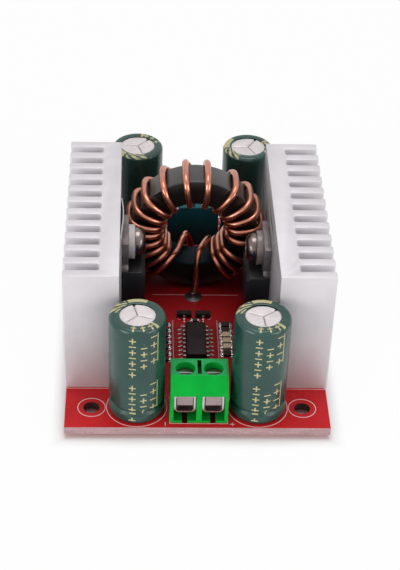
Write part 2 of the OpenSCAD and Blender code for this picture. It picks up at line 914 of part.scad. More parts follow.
module clamp_screw(i, s) {
  color([0.78, 0.78, 0.78])
    at_term(i)
      translate([s * term_pole / 2, clamp_y, 0])
        difference() {
          union() {
            translate([0, 0, ledge_z])
              cylinder(h = clamp_head_h, d = clamp_head_d);
            translate([0, 0, clamp_end_z])
              cylinder(h = ledge_z - clamp_end_z, d = clamp_d);
          }
          translate([-clamp_head_d, -driver_w / 2, ledge_z + clamp_head_h - driver_h])
            cube([2 * clamp_head_d, driver_w, driver_h + cut]);
        }
}

module clamp_cage(i, s) {
  color([0.78, 0.78, 0.76])
    at_term(i)
      translate([s * term_pole / 2, cage_y, cage_z])
        difference() {
          translate([0, cage_l, 0])
            rotate([90, 0, 0])
              linear_extrude(cage_l)
                difference() {
                  union() {
                    round_rect(-cage_w / 2, 0, cage_w / 2, cage_h, cage_r);
                    translate([-cage_w / 2, cage_h / 2])
                      square([cage_w, cage_h / 2]);
                  }
                  translate([-cage_w / 2 + cage_t, cage_floor])
                    square([cage_w - 2 * cage_t, cage_window]);
                }
          translate([0, cage_hole_y, cage_floor + cage_window - cut])
            cylinder(h = cage_top + 2 * cut, d = clamp_d + 2 * clamp_gap);
        }
}

module term_contacts(i) {
  color([0.78, 0.78, 0.78])
    at_term(i)
      for (s = [-1, 1])
        translate([s * term_pole / 2, 0, 0]) {
          side_view(tongue_w)
            polygon([[plate_y, tongue_z], [leg_y, tongue_z], [leg_y, term_floor],
              [leg_y + plate_t, term_floor], [leg_y + plate_t, tongue_z + tongue_t],
              [plate_y + plate_t, tongue_z + tongue_t], [plate_y + plate_t, plate_z], [plate_y, plate_z]]);
          translate([-term_pin_w / 2, leg_y, -board_t])
            cube([term_pin_w, plate_t, board_t + term_floor]);
        }
}

module front_terminal() {
  term_housing(0);
}

module front_left_screw() {
  clamp_screw(0, -1);
}

module front_right_screw() {
  clamp_screw(0, 1);
}

module front_left_cage() {
  clamp_cage(0, -1);
}

module front_right_cage() {
  clamp_cage(0, 1);
}

module front_contacts() {
  term_contacts(0);
}

module rear_terminal() {
  term_housing(1);
}

module rear_left_screw() {
  clamp_screw(1, 1);
}

module rear_right_screw() {
  clamp_screw(1, -1);
}

module rear_left_cage() {
  clamp_cage(1, 1);
}

module rear_right_cage() {
  clamp_cage(1, -1);
}

module rear_contacts() {
  term_contacts(1);
}

// Power devices, drawn against the right-hand heat sink

// The part of a tab that the body is moulded around
module tab_root(y) {
  translate([tab_front, y - tab_in_w / 2, top_z + pkg_z + tab_in_z])
    cube([tab_t, tab_in_w, pkg_h - tab_in_z]);
}

module device(side) {
  color([0.08, 0.08, 0.09])
    on_side(side)
      difference() {
        translate([pkg_front, side_y(side) + pkg_w / 2, top_z + pkg_z])
          rotate([90, 0, 0])
            linear_extrude(pkg_w)
              polygon([[0, 0], [pkg_t, 0], [pkg_t, pkg_h], [pkg_slope, pkg_h], [0, pkg_h - pkg_slope]]);
        tab_root(side_y(side));
      }
}

module device_tab(side) {
  color([0.72, 0.72, 0.72])
    on_side(side)
      difference() {
        union() {
          translate([tab_front, side_y(side) - tab_w / 2, tab_z])
            cube([tab_t, tab_w, tab_h]);
          tab_root(side_y(side));
        }
        translate([tab_front - cut, side_y(side), screw_z])
          rotate([0, 90, 0])
            cylinder(h = tab_t + 2 * cut, d = tab_hole_d);
        for (s = [-1, 1])
          translate([tab_front - cut, side_y(side) + s * tab_w / 2, tab_z + 2 * tab_notch_r])
            rotate([0, 90, 0])
              cylinder(h = tab_t + 2 * cut, r = tab_notch_r);
      }
}

module device_leads(side) {
  color([0.75, 0.75, 0.76])
    at_pkg_leads(side) {
      translate([-pkg_lead_t / 2, -pkg_lead_w / 2, solder_h])
        cube([pkg_lead_t, pkg_lead_w, board_t + pkg_z]);
      translate([-pkg_lead_t / 2, -pkg_neck_w / 2, top_z + pkg_z - pkg_neck_h])
        cube([pkg_lead_t, pkg_neck_w, pkg_neck_h]);
    }
}

module film(side) {
  color([0.85, 0.85, 0.82])
    on_side(side)
      difference() {
        translate([pkg_back, side_y(side) - film_w / 2, top_z + film_bottom])
          cube([film_t, film_w, film_top - film_bottom]);
        translate([pkg_back - cut, side_y(side), screw_z])
          rotate([0, 90, 0])
            cylinder(h = film_t + 2 * cut, d = screw_d + 2 * screw_gap);
      }
}

module bush(side) {
  color([0.7, 0.7, 0.68])
    on_side(side)
      translate([tab_front - bush_t, side_y(side), screw_z])
        rotate([0, 90, 0])
          difference() {
            union() {
              cylinder(h = bush_t, d = bush_d);
              cylinder(h = bush_t + tab_t, d = tab_hole_d - 2 * screw_gap);
            }
            translate([0, 0, -cut])
              cylinder(h = bush_t + tab_t + 2 * cut, d = screw_d + 2 * screw_gap);
          }
}

module fixing(side) {
  color([0.78, 0.78, 0.78])
    on_side(side)
      translate([tab_front - bush_t, side_y(side), screw_z])
        rotate([0, 90, 0])
          difference() {
            union() {
              cylinder(h = bush_t + tab_t + film_t + screw_bite, d = screw_d);
              rotate_extrude()
                intersection() {
                  round_rect(-screw_head_d / 2, -screw_head_h, screw_head_d / 2, screw_head_h,
                    screw_head_r);
                  translate([0, -screw_head_h])
                    square([screw_head_d / 2, screw_head_h]);
                }
            }
            for (a = [45, 135])
              rotate([0, 0, a])
                translate([-cross_l / 2, -driver_w / 2, -screw_head_h - cut])
                  cube([cross_l, driver_w, cross_h + cut]);
          }
}

module left_device() {
  device(-1);
}

module left_tab() {
  device_tab(-1);
}

module left_device_leads() {
  device_leads(-1);
}

module left_film() {
  film(-1);
}

module left_bush() {
  bush(-1);
}

module left_fixing() {
  fixing(-1);
}

module right_device() {
  device(1);
}

module right_tab() {
  device_tab(1);
}

module right_device_leads() {
  device_leads(1);
}

module right_film() {
  film(1);
}

module right_bush() {
  bush(1);
}

module right_fixing() {
  fixing(1);
}

// Trimmers

// Places the adjusting screw of a trimmer at its seat
module at_trim_screw(side) {
  translate([side * (trim_x - trim_w / 2 + trim_screw_x), -trim_y - trim_l / 2 + trim_screw_end,
      top_z + trim_h - trim_screw_depth])
    children();
}

module trimmer(side) {
  color([0.1, 0.3, 0.7])
    difference() {
      translate([side * trim_x - trim_w / 2, -trim_y - trim_l / 2, top_z])
        cube([trim_w, trim_l, trim_h]);
      at_trim_screw(side)
        cylinder(h = trim_screw_depth + cut, d = trim_screw_d + 2 * trim_screw_gap);
    }
}

module trimmer_screw(side) {
  color([0.8, 0.65, 0.3])
    at_trim_screw(side)
      difference() {
        cylinder(h = trim_screw_depth + trim_screw_out, d = trim_screw_d);
        translate([-trim_screw_d, -driver_w / 2, trim_screw_depth + trim_screw_out - driver_h])
          cube([2 * trim_screw_d, driver_w, driver_h + cut]);
      }
}

module trimmer_pins(side) {
  color([0.75, 0.75, 0.76])
    at_trim_pins(side)
      lead(0, 0, trim_pin_d, 0);
}

module left_trimmer() {
  trimmer(-1);
}

module left_trimmer_screw() {
  trimmer_screw(-1);
}

module left_trimmer_pins() {
  trimmer_pins(-1);
}

module right_trimmer() {
  trimmer(1);
}

module right_trimmer_screw() {
  trimmer_screw(1);
}

module right_trimmer_pins() {
  trimmer_pins(1);
}

// Controller, transistors and chips

// A moulded body, w along X, l along Y and h high, widest where the leads leave
module moulded(w, l, h) {
  translate([0, l / 2, mould_z])
    rotate([90, 0, 0])
      linear_extrude(l)
        polygon([[-w / 2 + mould_slope, 0], [w / 2 - mould_slope, 0], [w / 2, (h - leg_t) / 2],
          [w / 2, (h + leg_t) / 2], [w / 2 - mould_slope, h], [-w / 2 + mould_slope, h],
          [-w / 2, (h + leg_t) / 2], [-w / 2, (h - leg_t) / 2]]);
}

// Height where the leads leave a moulded body that is h high
function leg_z(h) = mould_z + (h - leg_t) / 2;

module controller() {
  color([0.09, 0.09, 0.1])
    translate([ic_x, ic_y, top_z])
      moulded(ic_w, ic_l, ic_h);
}

// A bent lead from a body side at distance b out to distance e along +X, w wide, leaving at height z
module leg(b, e, w, z) {
  translate([b, -w / 2, z])
    cube([e - foot_l - b + leg_t, w, leg_t]);
  translate([e - foot_l, -w / 2, 0])
    cube([leg_t, w, z + leg_t]);
  translate([e - foot_l, -w / 2, 0])
    cube([foot_l, w, leg_t]);
}

module controller_leads() {
  color([0.75, 0.75, 0.76])
    for (a = [0, 180])
      for (i = [0:ic_leads - 1])
        translate([ic_x, ic_y + (i - (ic_leads - 1) / 2) * ic_pitch, top_z])
          rotate([0, 0, a])
            leg(ic_w / 2, ic_span / 2, ic_lead_w, leg_z(ic_h));
}

// Places both transistors
module at_transistors() {
  for (s = [-1, 1])
    translate([s * sot_x, sot_y, top_z])
      children();
}

module transistors() {
  color([0.09, 0.09, 0.1])
    at_transistors()
      rotate([0, 0, 90])
        moulded(sot_w, sot_l, sot_h);
}

module transistor_leads() {
  color([0.75, 0.75, 0.76])
    at_transistors() {
      rotate([0, 0, -90])
        leg(sot_w / 2, sot_span / 2, sot_lead_w, leg_z(sot_h));
      for (s = [-1, 1])
        translate([s * sot_pitch / 2, 0, 0])
          rotate([0, 0, 90])
            leg(sot_w / 2, sot_span / 2, sot_lead_w, leg_z(sot_h));
    }
}

// The middle of a chip of size l, w, h, along X
module chip_body(l, w, h) {
  translate([-l / 2 + chip_end, -w / 2, 0])
    cube([l - 2 * chip_end, w, h]);
}

// The metal ends of the same chip
module chip_tips(l, w, h) {
  for (s = [-1, 1])
    translate([s * (l - chip_end) / 2 - chip_end / 2, -w / 2, 0])
      cube([chip_end, w, h]);
}

// The left column of small resistors and the loose one behind the controller
module at_small_chips() {
  for (i = [0:left_chips - 1])
    translate([chip_left_x, chip_first_y - i * chip_pitch, top_z])
      children();
  translate([ic_x, ic_y + ic_l / 2 + loose_gap + chip_w / 2, top_z])
    children();
}

// The resistors in the right column
module at_big_resistors() {
  for (i = resistor_rows)
    translate([chip_right_x, chip_first_y - i * chip_pitch, top_z])
      children();
}

// The capacitors in the right column
module at_big_capacitors() {
  for (i = capacitor_rows)
    translate([chip_right_x, chip_first_y - i * chip_pitch, top_z])
      children();
}

module chip_resistors() {
  color([0.12, 0.11, 0.1]) {
    at_small_chips()
      chip_body(chip_l, chip_w, chip_h);
    at_big_resistors()
      chip_body(big_l, big_w, chip_h);
  }
}

module chip_capacitors() {
  color([0.66, 0.56, 0.45])
    at_big_capacitors()
      chip_body(big_l, big_w, big_h);
}

module chip_ends() {
  color([0.75, 0.75, 0.76]) {
    at_small_chips()
      chip_tips(chip_l, chip_w, chip_h);
    at_big_resistors()
      chip_tips(big_l, big_w, chip_h);
    at_big_capacitors()
      chip_tips(big_l, big_w, big_h);
  }
}

// Assembly

circuit_board();
left_heatsink();
right_heatsink();
heatsink_pins();
coil_core();
coil_winding();
front_left_can();
front_left_sleeve();
front_left_seal();
front_left_leads();
front_right_can();
front_right_sleeve();
front_right_seal();
front_right_leads();
rear_left_can();
rear_left_sleeve();
rear_left_seal();
rear_left_leads();
rear_right_can();
rear_right_sleeve();
rear_right_seal();
rear_right_leads();
front_terminal();
front_left_screw();
front_right_screw();
front_left_cage();
front_right_cage();
front_contacts();
rear_terminal();
rear_left_screw();
rear_right_screw();
rear_left_cage();
rear_right_cage();
rear_contacts();
left_device();
left_tab();
left_device_leads();
left_film();
left_bush();
left_fixing();
right_device();
right_tab();
right_device_leads();
right_film();
right_bush();
right_fixing();
left_trimmer();
left_trimmer_screw();
left_trimmer_pins();
right_trimmer();
right_trimmer_screw();
right_trimmer_pins();
controller();
controller_leads();
transistors();
transistor_leads();
chip_resistors();
chip_capacitors();
chip_ends();
solder_joints();
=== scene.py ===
import json
import math
from collections import namedtuple
from functools import partialmethod

import bmesh
import bpy
from bpy.props import FloatProperty, FloatVectorProperty, IntProperty, PointerProperty
from mathutils import Matrix, Vector


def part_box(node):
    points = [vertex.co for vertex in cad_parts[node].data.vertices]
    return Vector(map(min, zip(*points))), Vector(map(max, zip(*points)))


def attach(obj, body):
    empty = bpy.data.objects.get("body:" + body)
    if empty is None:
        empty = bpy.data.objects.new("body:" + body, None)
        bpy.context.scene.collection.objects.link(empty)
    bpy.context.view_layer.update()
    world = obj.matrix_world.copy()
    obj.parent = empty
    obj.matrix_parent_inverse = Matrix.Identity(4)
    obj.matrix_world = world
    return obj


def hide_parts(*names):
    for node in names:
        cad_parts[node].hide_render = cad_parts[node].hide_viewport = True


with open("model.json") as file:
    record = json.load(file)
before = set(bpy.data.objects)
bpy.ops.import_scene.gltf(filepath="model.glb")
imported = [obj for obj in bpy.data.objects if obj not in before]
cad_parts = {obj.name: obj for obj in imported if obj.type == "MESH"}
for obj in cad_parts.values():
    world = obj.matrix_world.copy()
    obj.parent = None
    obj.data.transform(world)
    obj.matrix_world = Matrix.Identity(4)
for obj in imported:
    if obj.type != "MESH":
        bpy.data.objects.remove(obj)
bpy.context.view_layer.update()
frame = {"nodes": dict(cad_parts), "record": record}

bl_info = {
    "name": "Boost converter module",
    "version": (1, 0, 0),
    "blender": (4, 5, 0),
    "location": "View3D > Sidebar > Module",
    "description": "Dresses the packed boost converter module and sets its studio stage",
    "category": "Object",
}

# Lengths are in millimetres and angles in degrees where nothing else is said
MM = 0.001
NODES = frame["nodes"]
BODY = "module"
ENDS = ("front", "rear")
SIDES = ("left", "right")
CORNERS = [f"{end}_{side}" for end in ENDS for side in SIDES]
BLACK = (0, 0, 0)
Box = namedtuple("Box", "low high middle half")


def node_box(node):
    """Corners, middle and half size of a CAD node's box."""
    low, high = (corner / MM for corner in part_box(node))
    return Box(low, high, (low + high) / 2, (high - low) / 2)


BOARD = node_box("circuit_board")
BOARD_TOP = BOARD.high.z
CORE = node_box("coil_core")
SLEEVE = node_box("front_left_sleeve")
CAPS = {corner: node_box(corner + "_sleeve").middle for corner in CORNERS}


# Settings

def paint(name, description, value):
    """A colour that a user may change."""
    return FloatVectorProperty(name=name, description=description, subtype="COLOR", size=3, min=0, max=1,
                               default=value)


def length(name, description, millimetres):
    """A length that a user may change, stored in metres."""
    return FloatProperty(name=name, description=description, unit="LENGTH", min=0, precision=5,
                         default=millimetres * MM)


def lamp_power(name, description, watts):
    """The power of a lamp that a user may change."""
    return FloatProperty(name=name, description=description, unit="POWER", min=0, default=watts)


class ModuleBoardSettings(bpy.types.PropertyGroup):
    """Colours and line sizes of the circuit board."""
    mask: paint("Mask", "Solder mask over copper", (0.62, 0.016, 0.02))
    laminate: paint("Laminate", "Cut edge of the board", (0.5, 0.315, 0.33))
    silk: paint("Silk", "Printed lines", (0.8, 0.62, 0.6))
    line: length("Line width", "Width of the printed lines", 0.13)
    ring: length("Hole ring", "Radius of the printed ring round a mounting hole", 2.5)


class ModuleMetalSettings(bpy.types.PropertyGroup):
    """Colours of the bare metals."""
    sink: paint("Heat sink", "Satin aluminium", (0.7, 0.668, 0.695))
    solder: paint("Solder", "Solder and tinned leads", (0.74, 0.74, 0.75))
    lead: paint("Lead", "Leads of the small parts", (0.36, 0.31, 0.29))
    steel: paint("Steel", "Plated screws and cages", (0.66, 0.64, 0.62))
    fixing: paint("Fixing", "Screws that hold the power devices", (0.22, 0.18, 0.17))
    plate: paint("Plate", "Contact plates of the terminals", (0.4, 0.31, 0.32))
    tab: paint("Tab", "Tinned device tabs", (0.27, 0.235, 0.23))
    brass: paint("Brass", "Adjusting screws", (0.78, 0.57, 0.24))
    edge: length("Edge", "Rounding of the heat sink edges", 0.12)


class ModuleCoilSettings(bpy.types.PropertyGroup):
    """Wire and core of the coil."""
    wire: length("Wire", "Diameter of the wire", 1.3)
    sides: IntProperty(name="Sides", description="Faces round the wire", min=6, max=32, default=12)
    slack: length("Slack", "Stand-off of the turns from the rim of the core", 0.22)
    bulge: length("Bulge", "Stand-off of the turns from the end faces", 0.6)
    copper: paint("Copper", "Enamelled wire", (0.56, 0.205, 0.125))
    core: paint("Core", "Coated core", (0.016, 0.0125, 0.0115))
    # The bore colour is a painted bluish reflection inside the core
    bore: paint("Bore", "Coat inside the core", (0.001, 0.018, 0.03))


class ModuleCapacitorSettings(bpy.types.PropertyGroup):
    """Sleeve, print and can of the capacitors."""
    sleeve: paint("Sleeve", "Shrink sleeve", (0.013, 0.052, 0.042))
    marks: paint("Marks", "Printed polarity stripe", (0.52, 0.47, 0.24))
    can: paint("Can", "Bare aluminium top", (0.74, 0.68, 0.69))
    score: length("Score", "Depth of the vent score", 0.24)


class ModulePlasticSettings(bpy.types.PropertyGroup):
    """Colours of the mouldings."""
    terminal: paint("Terminal", "Housing of the front terminal", (0.002, 0.34, 0.036))
    # Dark teal that also carries painted deep shade behind the coil
    rear: paint("Rear terminal", "Housing of the rear terminal", (0.012, 0.1, 0.125))
    mould: paint("Mould", "Black moulding compound", (0.018, 0.017, 0.019))
    chip: paint("Chip", "Moulding compound of the small parts", (0.017, 0.012, 0.0115))
    trimmer: paint("Trimmer", "Trimmer bodies", (0.02, 0.1, 0.42))
    film: paint("Film", "Insulating film", (0.62, 0.6, 0.6))
    bush: paint("Bush", "Insulating bush on the left", (0.54, 0.5, 0.49))
    dark_bush: paint("Dark bush", "Insulating bush on the right", (0.17, 0.135, 0.13))
    ceramic: paint("Ceramic", "Chip capacitors", (0.42, 0.31, 0.21))
    edge: length("Edge", "Rounding of moulded edges", 0.12)


class ModuleStageSettings(bpy.types.PropertyGroup):
    """Camera and light."""
    lens: FloatProperty(name="Lens", description="Focal length in millimetres", min=10, default=100.33)
    key: lamp_power("Key", "Power of the left light", 2.5)
    fill: lamp_power("Fill", "Power of the right light", 1.8)
    top: lamp_power("Top", "Power of the overhead light", 1.95)
    sky: FloatProperty(name="Sky", description="Strength of the sky at the horizon and overhead", min=0,
                       default=0.66)
    belt: FloatProperty(name="Belt", description="Share of that strength half-way up", min=0, max=1,
                        default=0.25)
    floor: paint("Floor", "Floor colour", (0.9, 0.9, 0.9))
    fade: length("Fade", "Reach of the shadow round the module", 3.0)


SETTINGS = {
    "module_board": ModuleBoardSettings,
    "module_metal": ModuleMetalSettings,
    "module_coil": ModuleCoilSettings,
    "module_capacitor": ModuleCapacitorSettings,
    "module_plastic": ModulePlasticSettings,
    "module_stage": ModuleStageSettings,
}


# Shader tools

class Sock:
    """A node's output that takes part in Python sums."""

    def __init__(self, tree, socket):
        self.tree = tree
        self.socket = socket

    def math(self, operation, *others):
        return self.tree.node("ShaderNodeMath", dict(enumerate((self, *others))), operation=operation)


# Python's signs for a sum, each made by a math node
for word, deed in (("add", "ADD"), ("radd", "ADD"), ("sub", "SUBTRACT"), ("mul", "MULTIPLY"),
                   ("rmul", "MULTIPLY"), ("mod", "FLOORED_MODULO"), ("gt", "GREATER_THAN"),
                   ("lt", "LESS_THAN"), ("abs", "ABSOLUTE")):
    setattr(Sock, f"__{word}__", partialmethod(Sock.math, deed))


class Tree:
    """Adds nodes to a node tree, one call each."""

    def __init__(self, tree):
        self.tree = tree
        tree.nodes.clear()

    def node(self, kind, inputs=None, output=0, **settings):
        made = self.tree.nodes.new(kind)
        for key, value in settings.items():
            setattr(made, key, value)
        for key, value in (inputs or {}).items():
            self.plug(made.inputs[key], value)
        return Sock(self, made.outputs[output]) if len(made.outputs) else made

    def plug(self, socket, value):
        if isinstance(value, Sock):
            self.tree.links.new(value.socket, socket)
        else:
            socket.default_value = (*value, 1) if socket.type == "RGBA" else value

    def axes(self, vector):
        split = self.node("ShaderNodeSeparateXYZ", {0: vector})
        return [Sock(self, s) for s in split.socket.node.outputs]

    def ramp(self, value, low, high, first=0.0, last=1.0):
        """Value carried from low..high to first..last, smoothly and no further."""
        inputs = {"Value": value, "From Min": low, "From Max": high, "To Min": first, "To Max": last}
        return self.node("ShaderNodeMapRange", inputs, interpolation_type="SMOOTHSTEP")

    def seen(self):
        """One for rays that show the stage, straight or mirrored, and zero for its light on the module."""
        path = self.node("ShaderNodeLightPath").socket.node
        rays = [Sock(self, path.outputs[f"Is {kind} Ray"]) for kind in ("Camera", "Glossy", "Transmission")]
        return sum(rays).math("MINIMUM", 1.0)


class Finish(Tree):
    """One material with a Principled shader."""

    def __init__(self, name, **constants):
        self.material = bpy.data.materials.new(name)
        self.material.use_nodes = True
        super().__init__(self.material.node_tree)
        self.bsdf = self.tree.nodes.new("ShaderNodeBsdfPrincipled")
        self.out = self.tree.nodes.new("ShaderNodeOutputMaterial")
        self.tree.links.new(self.bsdf.outputs[0], self.out.inputs["Surface"])
        for key, value in constants.items():
            self.put(key.replace("_", " "), value)

    def put(self, name, value):
        self.plug(self.bsdf.inputs[name], value)

    def place(self, stretch=(1, 1, 1), middle=(0, 0, 0)):
        """Object coordinates from a middle point, stretched."""
        coords = self.node("ShaderNodeTexCoord", output="Object")
        inputs = {0: coords, 1: [m * MM for m in middle]}
        shifted = self.node("ShaderNodeVectorMath", inputs, operation="SUBTRACT")
        return self.node("ShaderNodeMapping", {"Vector": shifted, "Scale": [s / MM for s in stretch]})

    def noise(self, scale, detail=3.0, rough=0.5, stretch=(1, 1, 1)):
        inputs = {"Vector": self.place(stretch), "Scale": scale, "Detail": detail, "Roughness": rough}
        return self.node("ShaderNodeTexNoise", inputs)

    def mix(self, share, a, b):
        return self.node("ShaderNodeMix", {0: share, 6: a, 7: b}, 2, data_type="RGBA")

    def clouded(self, color, share, noise, low, high):
        """A colour that turns to a darker or lighter share of itself as a noise goes from low to high."""
        return self.mix(self.ramp(noise, low, high), color, shade(color, share))

    def coat(self, tone, rough, uneven, height, depth, strength):
        """The material with its colour, a roughness made uneven by (noise, amount) pairs and a bump."""
        self.put("Base Color", tone)
        for noise, amount in uneven:
            rough = rough + (noise - 0.5) * amount
        self.put("Roughness", rough)
        inputs = {"Height": height, "Distance": depth * MM, "Strength": strength}
        self.put("Normal", self.node("ShaderNodeBump", inputs))
        return self.material


def shade(color, share):
    """A colour made darker (share below 1) or lighter."""
    return tuple(min(1.0, c * share) for c in color)


def metal_finish(name, color, rough, grain=(1, 1, 1), streak=0.06, spots=0.0):
    """Bare metal with fine grain drawn out along one axis and a little tarnish."""
    f = Finish(name, Metallic=1.0, IOR=1.6)
    lines = f.noise(6.0, 2.0, stretch=grain)
    cloud = f.noise(0.35, 4.0, 0.6)
    tone = f.clouded(color, 0.86 - spots, cloud, 0.35, 0.7)
    return f.coat(tone, rough, [(lines, streak * 2), (cloud, 0.14)], lines, 0.006, 0.2)


def plastic_finish(name, color, rough, grain=4.0, depth=0.012, light=1.18, sheen=0.25):
    """Moulded plastic with a fine spark-eroded grain and faint flow clouds."""
    f = Finish(name, IOR=1.48, Specular_IOR_Level=sheen)
    fine = f.noise(grain, 3.0, 0.55)
    cloud = f.noise(0.22)
    tone = f.clouded(color, light, cloud, 0.35, 0.68)
    return f.coat(tone, rough, [(cloud, 0.16), (fine, 0.1)], fine, depth, 0.5)


# Mesh tools

# Distance within which vertices are merged
MERGE = 0.001
# Solder cushion: share of its width and height at each ring, steps round it and power that squares it
MOUND = ((1.0, 0.0), (0.98, 0.3), (0.86, 0.66), (0.62, 0.9), (0.3, 1.0))
MOUND_STEPS, MOUND_POWER = 16, 0.6


def linked(name, data):
    """A new object in the scene."""
    made = bpy.data.objects.new(name, data)
    bpy.context.scene.collection.objects.link(made)
    return made


def show(name, mesh, finishes):
    """An object at the origin with its finishes."""
    piece = linked(name, mesh)
    for finish in finishes:
        if finish.name not in mesh.materials:
            mesh.materials.append(finish)
    return piece


def settle(name, mesh, finishes, node=None, body=BODY):
    """Shows a mesh as a piece attached to its body. It may stand for a CAD node, which it hides."""
    piece = show(name, mesh, finishes)
    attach(piece, body)
    if node:
        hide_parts(node)


def soften(mesh, degrees=32):
    """Smooth shading with sharp edges kept."""
    mesh.shade_smooth()
    mesh.set_sharp_from_angle(angle=math.radians(degrees))


def mesh_from(name, bm):
    """Turns a bmesh into a mesh, which is in metres."""
    bmesh.ops.scale(bm, vec=(MM,) * 3, verts=bm.verts)
    mesh = bpy.data.meshes.new(name)
    bm.to_mesh(mesh)
    bm.free()
    return mesh


def piece_from(name, bm, finishes, node=None, body=BODY, degrees=32):
    """Turns a bmesh into a finished piece."""
    mesh = mesh_from(name, bm)
    soften(mesh, degrees)
    settle(name, mesh, finishes, node, body)


def node_bmesh(node):
    """A merged copy of a CAD node."""
    bm = bmesh.new()
    bm.from_mesh(NODES[node].data)
    bmesh.ops.scale(bm, vec=(1 / MM,) * 3, verts=bm.verts)
    bmesh.ops.remove_doubles(bm, verts=bm.verts, dist=MERGE)
    return bm


def refined(node, finishes, width, steps=2, degrees=40, part=None, body=BODY):
    """A copy of a CAD node with rounded edges, which stands for it. part picks each face's finish."""
    bm = node_bmesh(node)
    bmesh.ops.dissolve_limit(bm, angle_limit=math.radians(0.4), verts=bm.verts, edges=bm.edges)
    sharp = [e for e in bm.edges if len(e.link_faces) == 2 and e.calc_face_angle() > math.radians(degrees)]
    if width:
        bmesh.ops.bevel(bm, geom=sharp, offset=width, offset_type="OFFSET", segments=steps, profile=0.5,
                        affect="EDGES", clamp_overlap=True)
    bm.normal_update()
    if part:
        for face in bm.faces:
            face.material_index = part(face)
    piece_from(node + "_shell", bm, finishes, node, body=body)


def islands(node):
    """Boxes of the separate solids of a CAD node."""
    bm = node_bmesh(node)
    seen, boxes = set(), []
    for start in bm.verts:
        if start in seen:
            continue
        seen.add(start)
        group = [start]
        for vert in group:
            for other in (edge.other_vert(vert) for edge in vert.link_edges):
                if other not in seen:
                    seen.add(other)
                    group.append(other)
        boxes.append([Vector(pick(v.co[k] for v in group) for k in range(3)) for pick in (min, max)])
    bm.free()
    return boxes


def circle(x, y, radius, steps=64):
    """Plan points of a circle."""
    turns = [2 * math.pi * k / steps for k in range(steps)]
    return [(x + radius * math.cos(turn), y + radius * math.sin(turn)) for turn in turns]


def arc(middle, radius, first, last, steps):
    """Points of an arc in an outline."""
    turns = [math.radians(first + (last - first) * k / steps) for k in range(steps + 1)]
    return [(middle[0] + radius * math.cos(turn), middle[1] + radius * math.sin(turn)) for turn in turns]


def ease(share):
    """Smooth step from 0 to 1."""
    share = min(1.0, max(0.0, share))
    return share * share * (3 - 2 * share)


def bent(value, power):
    """A power of a value that keeps its sign."""
    return math.copysign(abs(value) ** power, value)


def bridge(bm, low, high, ring=True):
    """Faces between two rows of vertices, joined to a ring or open. A row of one vertex is a pole."""
    count = max(len(low), len(high))
    for k in range(count if ring else count - 1):
        n = (k + 1) % count
        corners = (low[k % len(low)], low[n % len(low)], high[n % len(high)], high[k % len(high)])
        bm.faces.new(list(dict.fromkeys(corners)))


def lathe(bm, outline, middle, steps):
    """Spins a closed outline of (radius, height) pairs about an upright axis."""
    rings = [[bm.verts.new((x, y, middle[2] + height)) for x, y in circle(*middle[:2], radius, steps)]
             for radius, height in outline]
    for low, high in zip(rings, rings[1:] + rings[:1]):
        bridge(bm, low, high)
    bmesh.ops.remove_doubles(bm, verts=bm.verts, dist=MERGE)
    bmesh.ops.recalc_face_normals(bm, faces=bm.faces)


def mound():
    """A soft solder cushion, one millimetre wide, long and high."""
    bm = bmesh.new()
    rings = [[bm.verts.new((bent(x, MOUND_POWER) * size / 2, bent(y, MOUND_POWER) * size / 2, height))
              for x, y in circle(0, 0, 1, MOUND_STEPS)] for size, height in MOUND]
    for low, high in zip(rings, rings[1:]):
        bridge(bm, low, high)
    bm.faces.new(rings[-1])
    bm.faces.new(rings[0][::-1])
    return bm


# Geometry node tools

class Growth(Tree):
    """A geometry node tree with a geometry input, named inputs, a finish and a geometry output."""

    def __init__(self, name, inputs):
        group = bpy.data.node_groups.new(name, "GeometryNodeTree")
        for label, kind in {"Geometry": "Geometry", **inputs, "Finish": "Material"}.items():
            group.interface.new_socket(label, in_out="INPUT", socket_type="NodeSocket" + kind)
        group.interface.new_socket("Geometry", in_out="OUTPUT", socket_type="NodeSocketGeometry")
        super().__init__(group)
        entry = group.nodes.new("NodeGroupInput")
        self.given = {s.name: Sock(self, s) for s in entry.outputs if s.name}

    def grow(self, name, geometry, source, inputs):
        """Ends the tree in its finish, runs it on a source mesh and returns the result as a plain mesh."""
        real = self.node("GeometryNodeRealizeInstances", {"Geometry": geometry})
        painted = self.node("GeometryNodeSetMaterial", {"Geometry": real, "Material": self.given["Finish"]})
        self.node("NodeGroupOutput", {0: painted})
        holder = linked(name + "_source", source)
        modifier = holder.modifiers.new("grow", "NODES")
        modifier.node_group = self.tree
        for item in self.tree.interface.items_tree:
            if item.in_out == "INPUT" and item.name in inputs:
                modifier[item.identifier] = inputs[item.name]
        graph = bpy.context.evaluated_depsgraph_get()
        mesh = bpy.data.meshes.new_from_object(holder.evaluated_get(graph), depsgraph=graph)
        holder.modifiers.clear()
        bpy.data.objects.remove(holder)
        if not mesh.polygons:
            raise RuntimeError(f"{name}: the tree made no faces")
        return mesh


def chains(name, paths):
    """A mesh of edge chains. Each path is (points, closed)."""
    verts, edges = [], []
    for points, closed in paths:
        first = len(verts)
        verts += [[c * MM for c in p] for p in points]
        edges += [(first + k, first + k + 1) for k in range(len(points) - 1)]
        if closed:
            edges.append((len(verts) - 1, first))
    mesh = bpy.data.meshes.new(name)
    mesh.from_pydata(verts, edges, [])
    return mesh


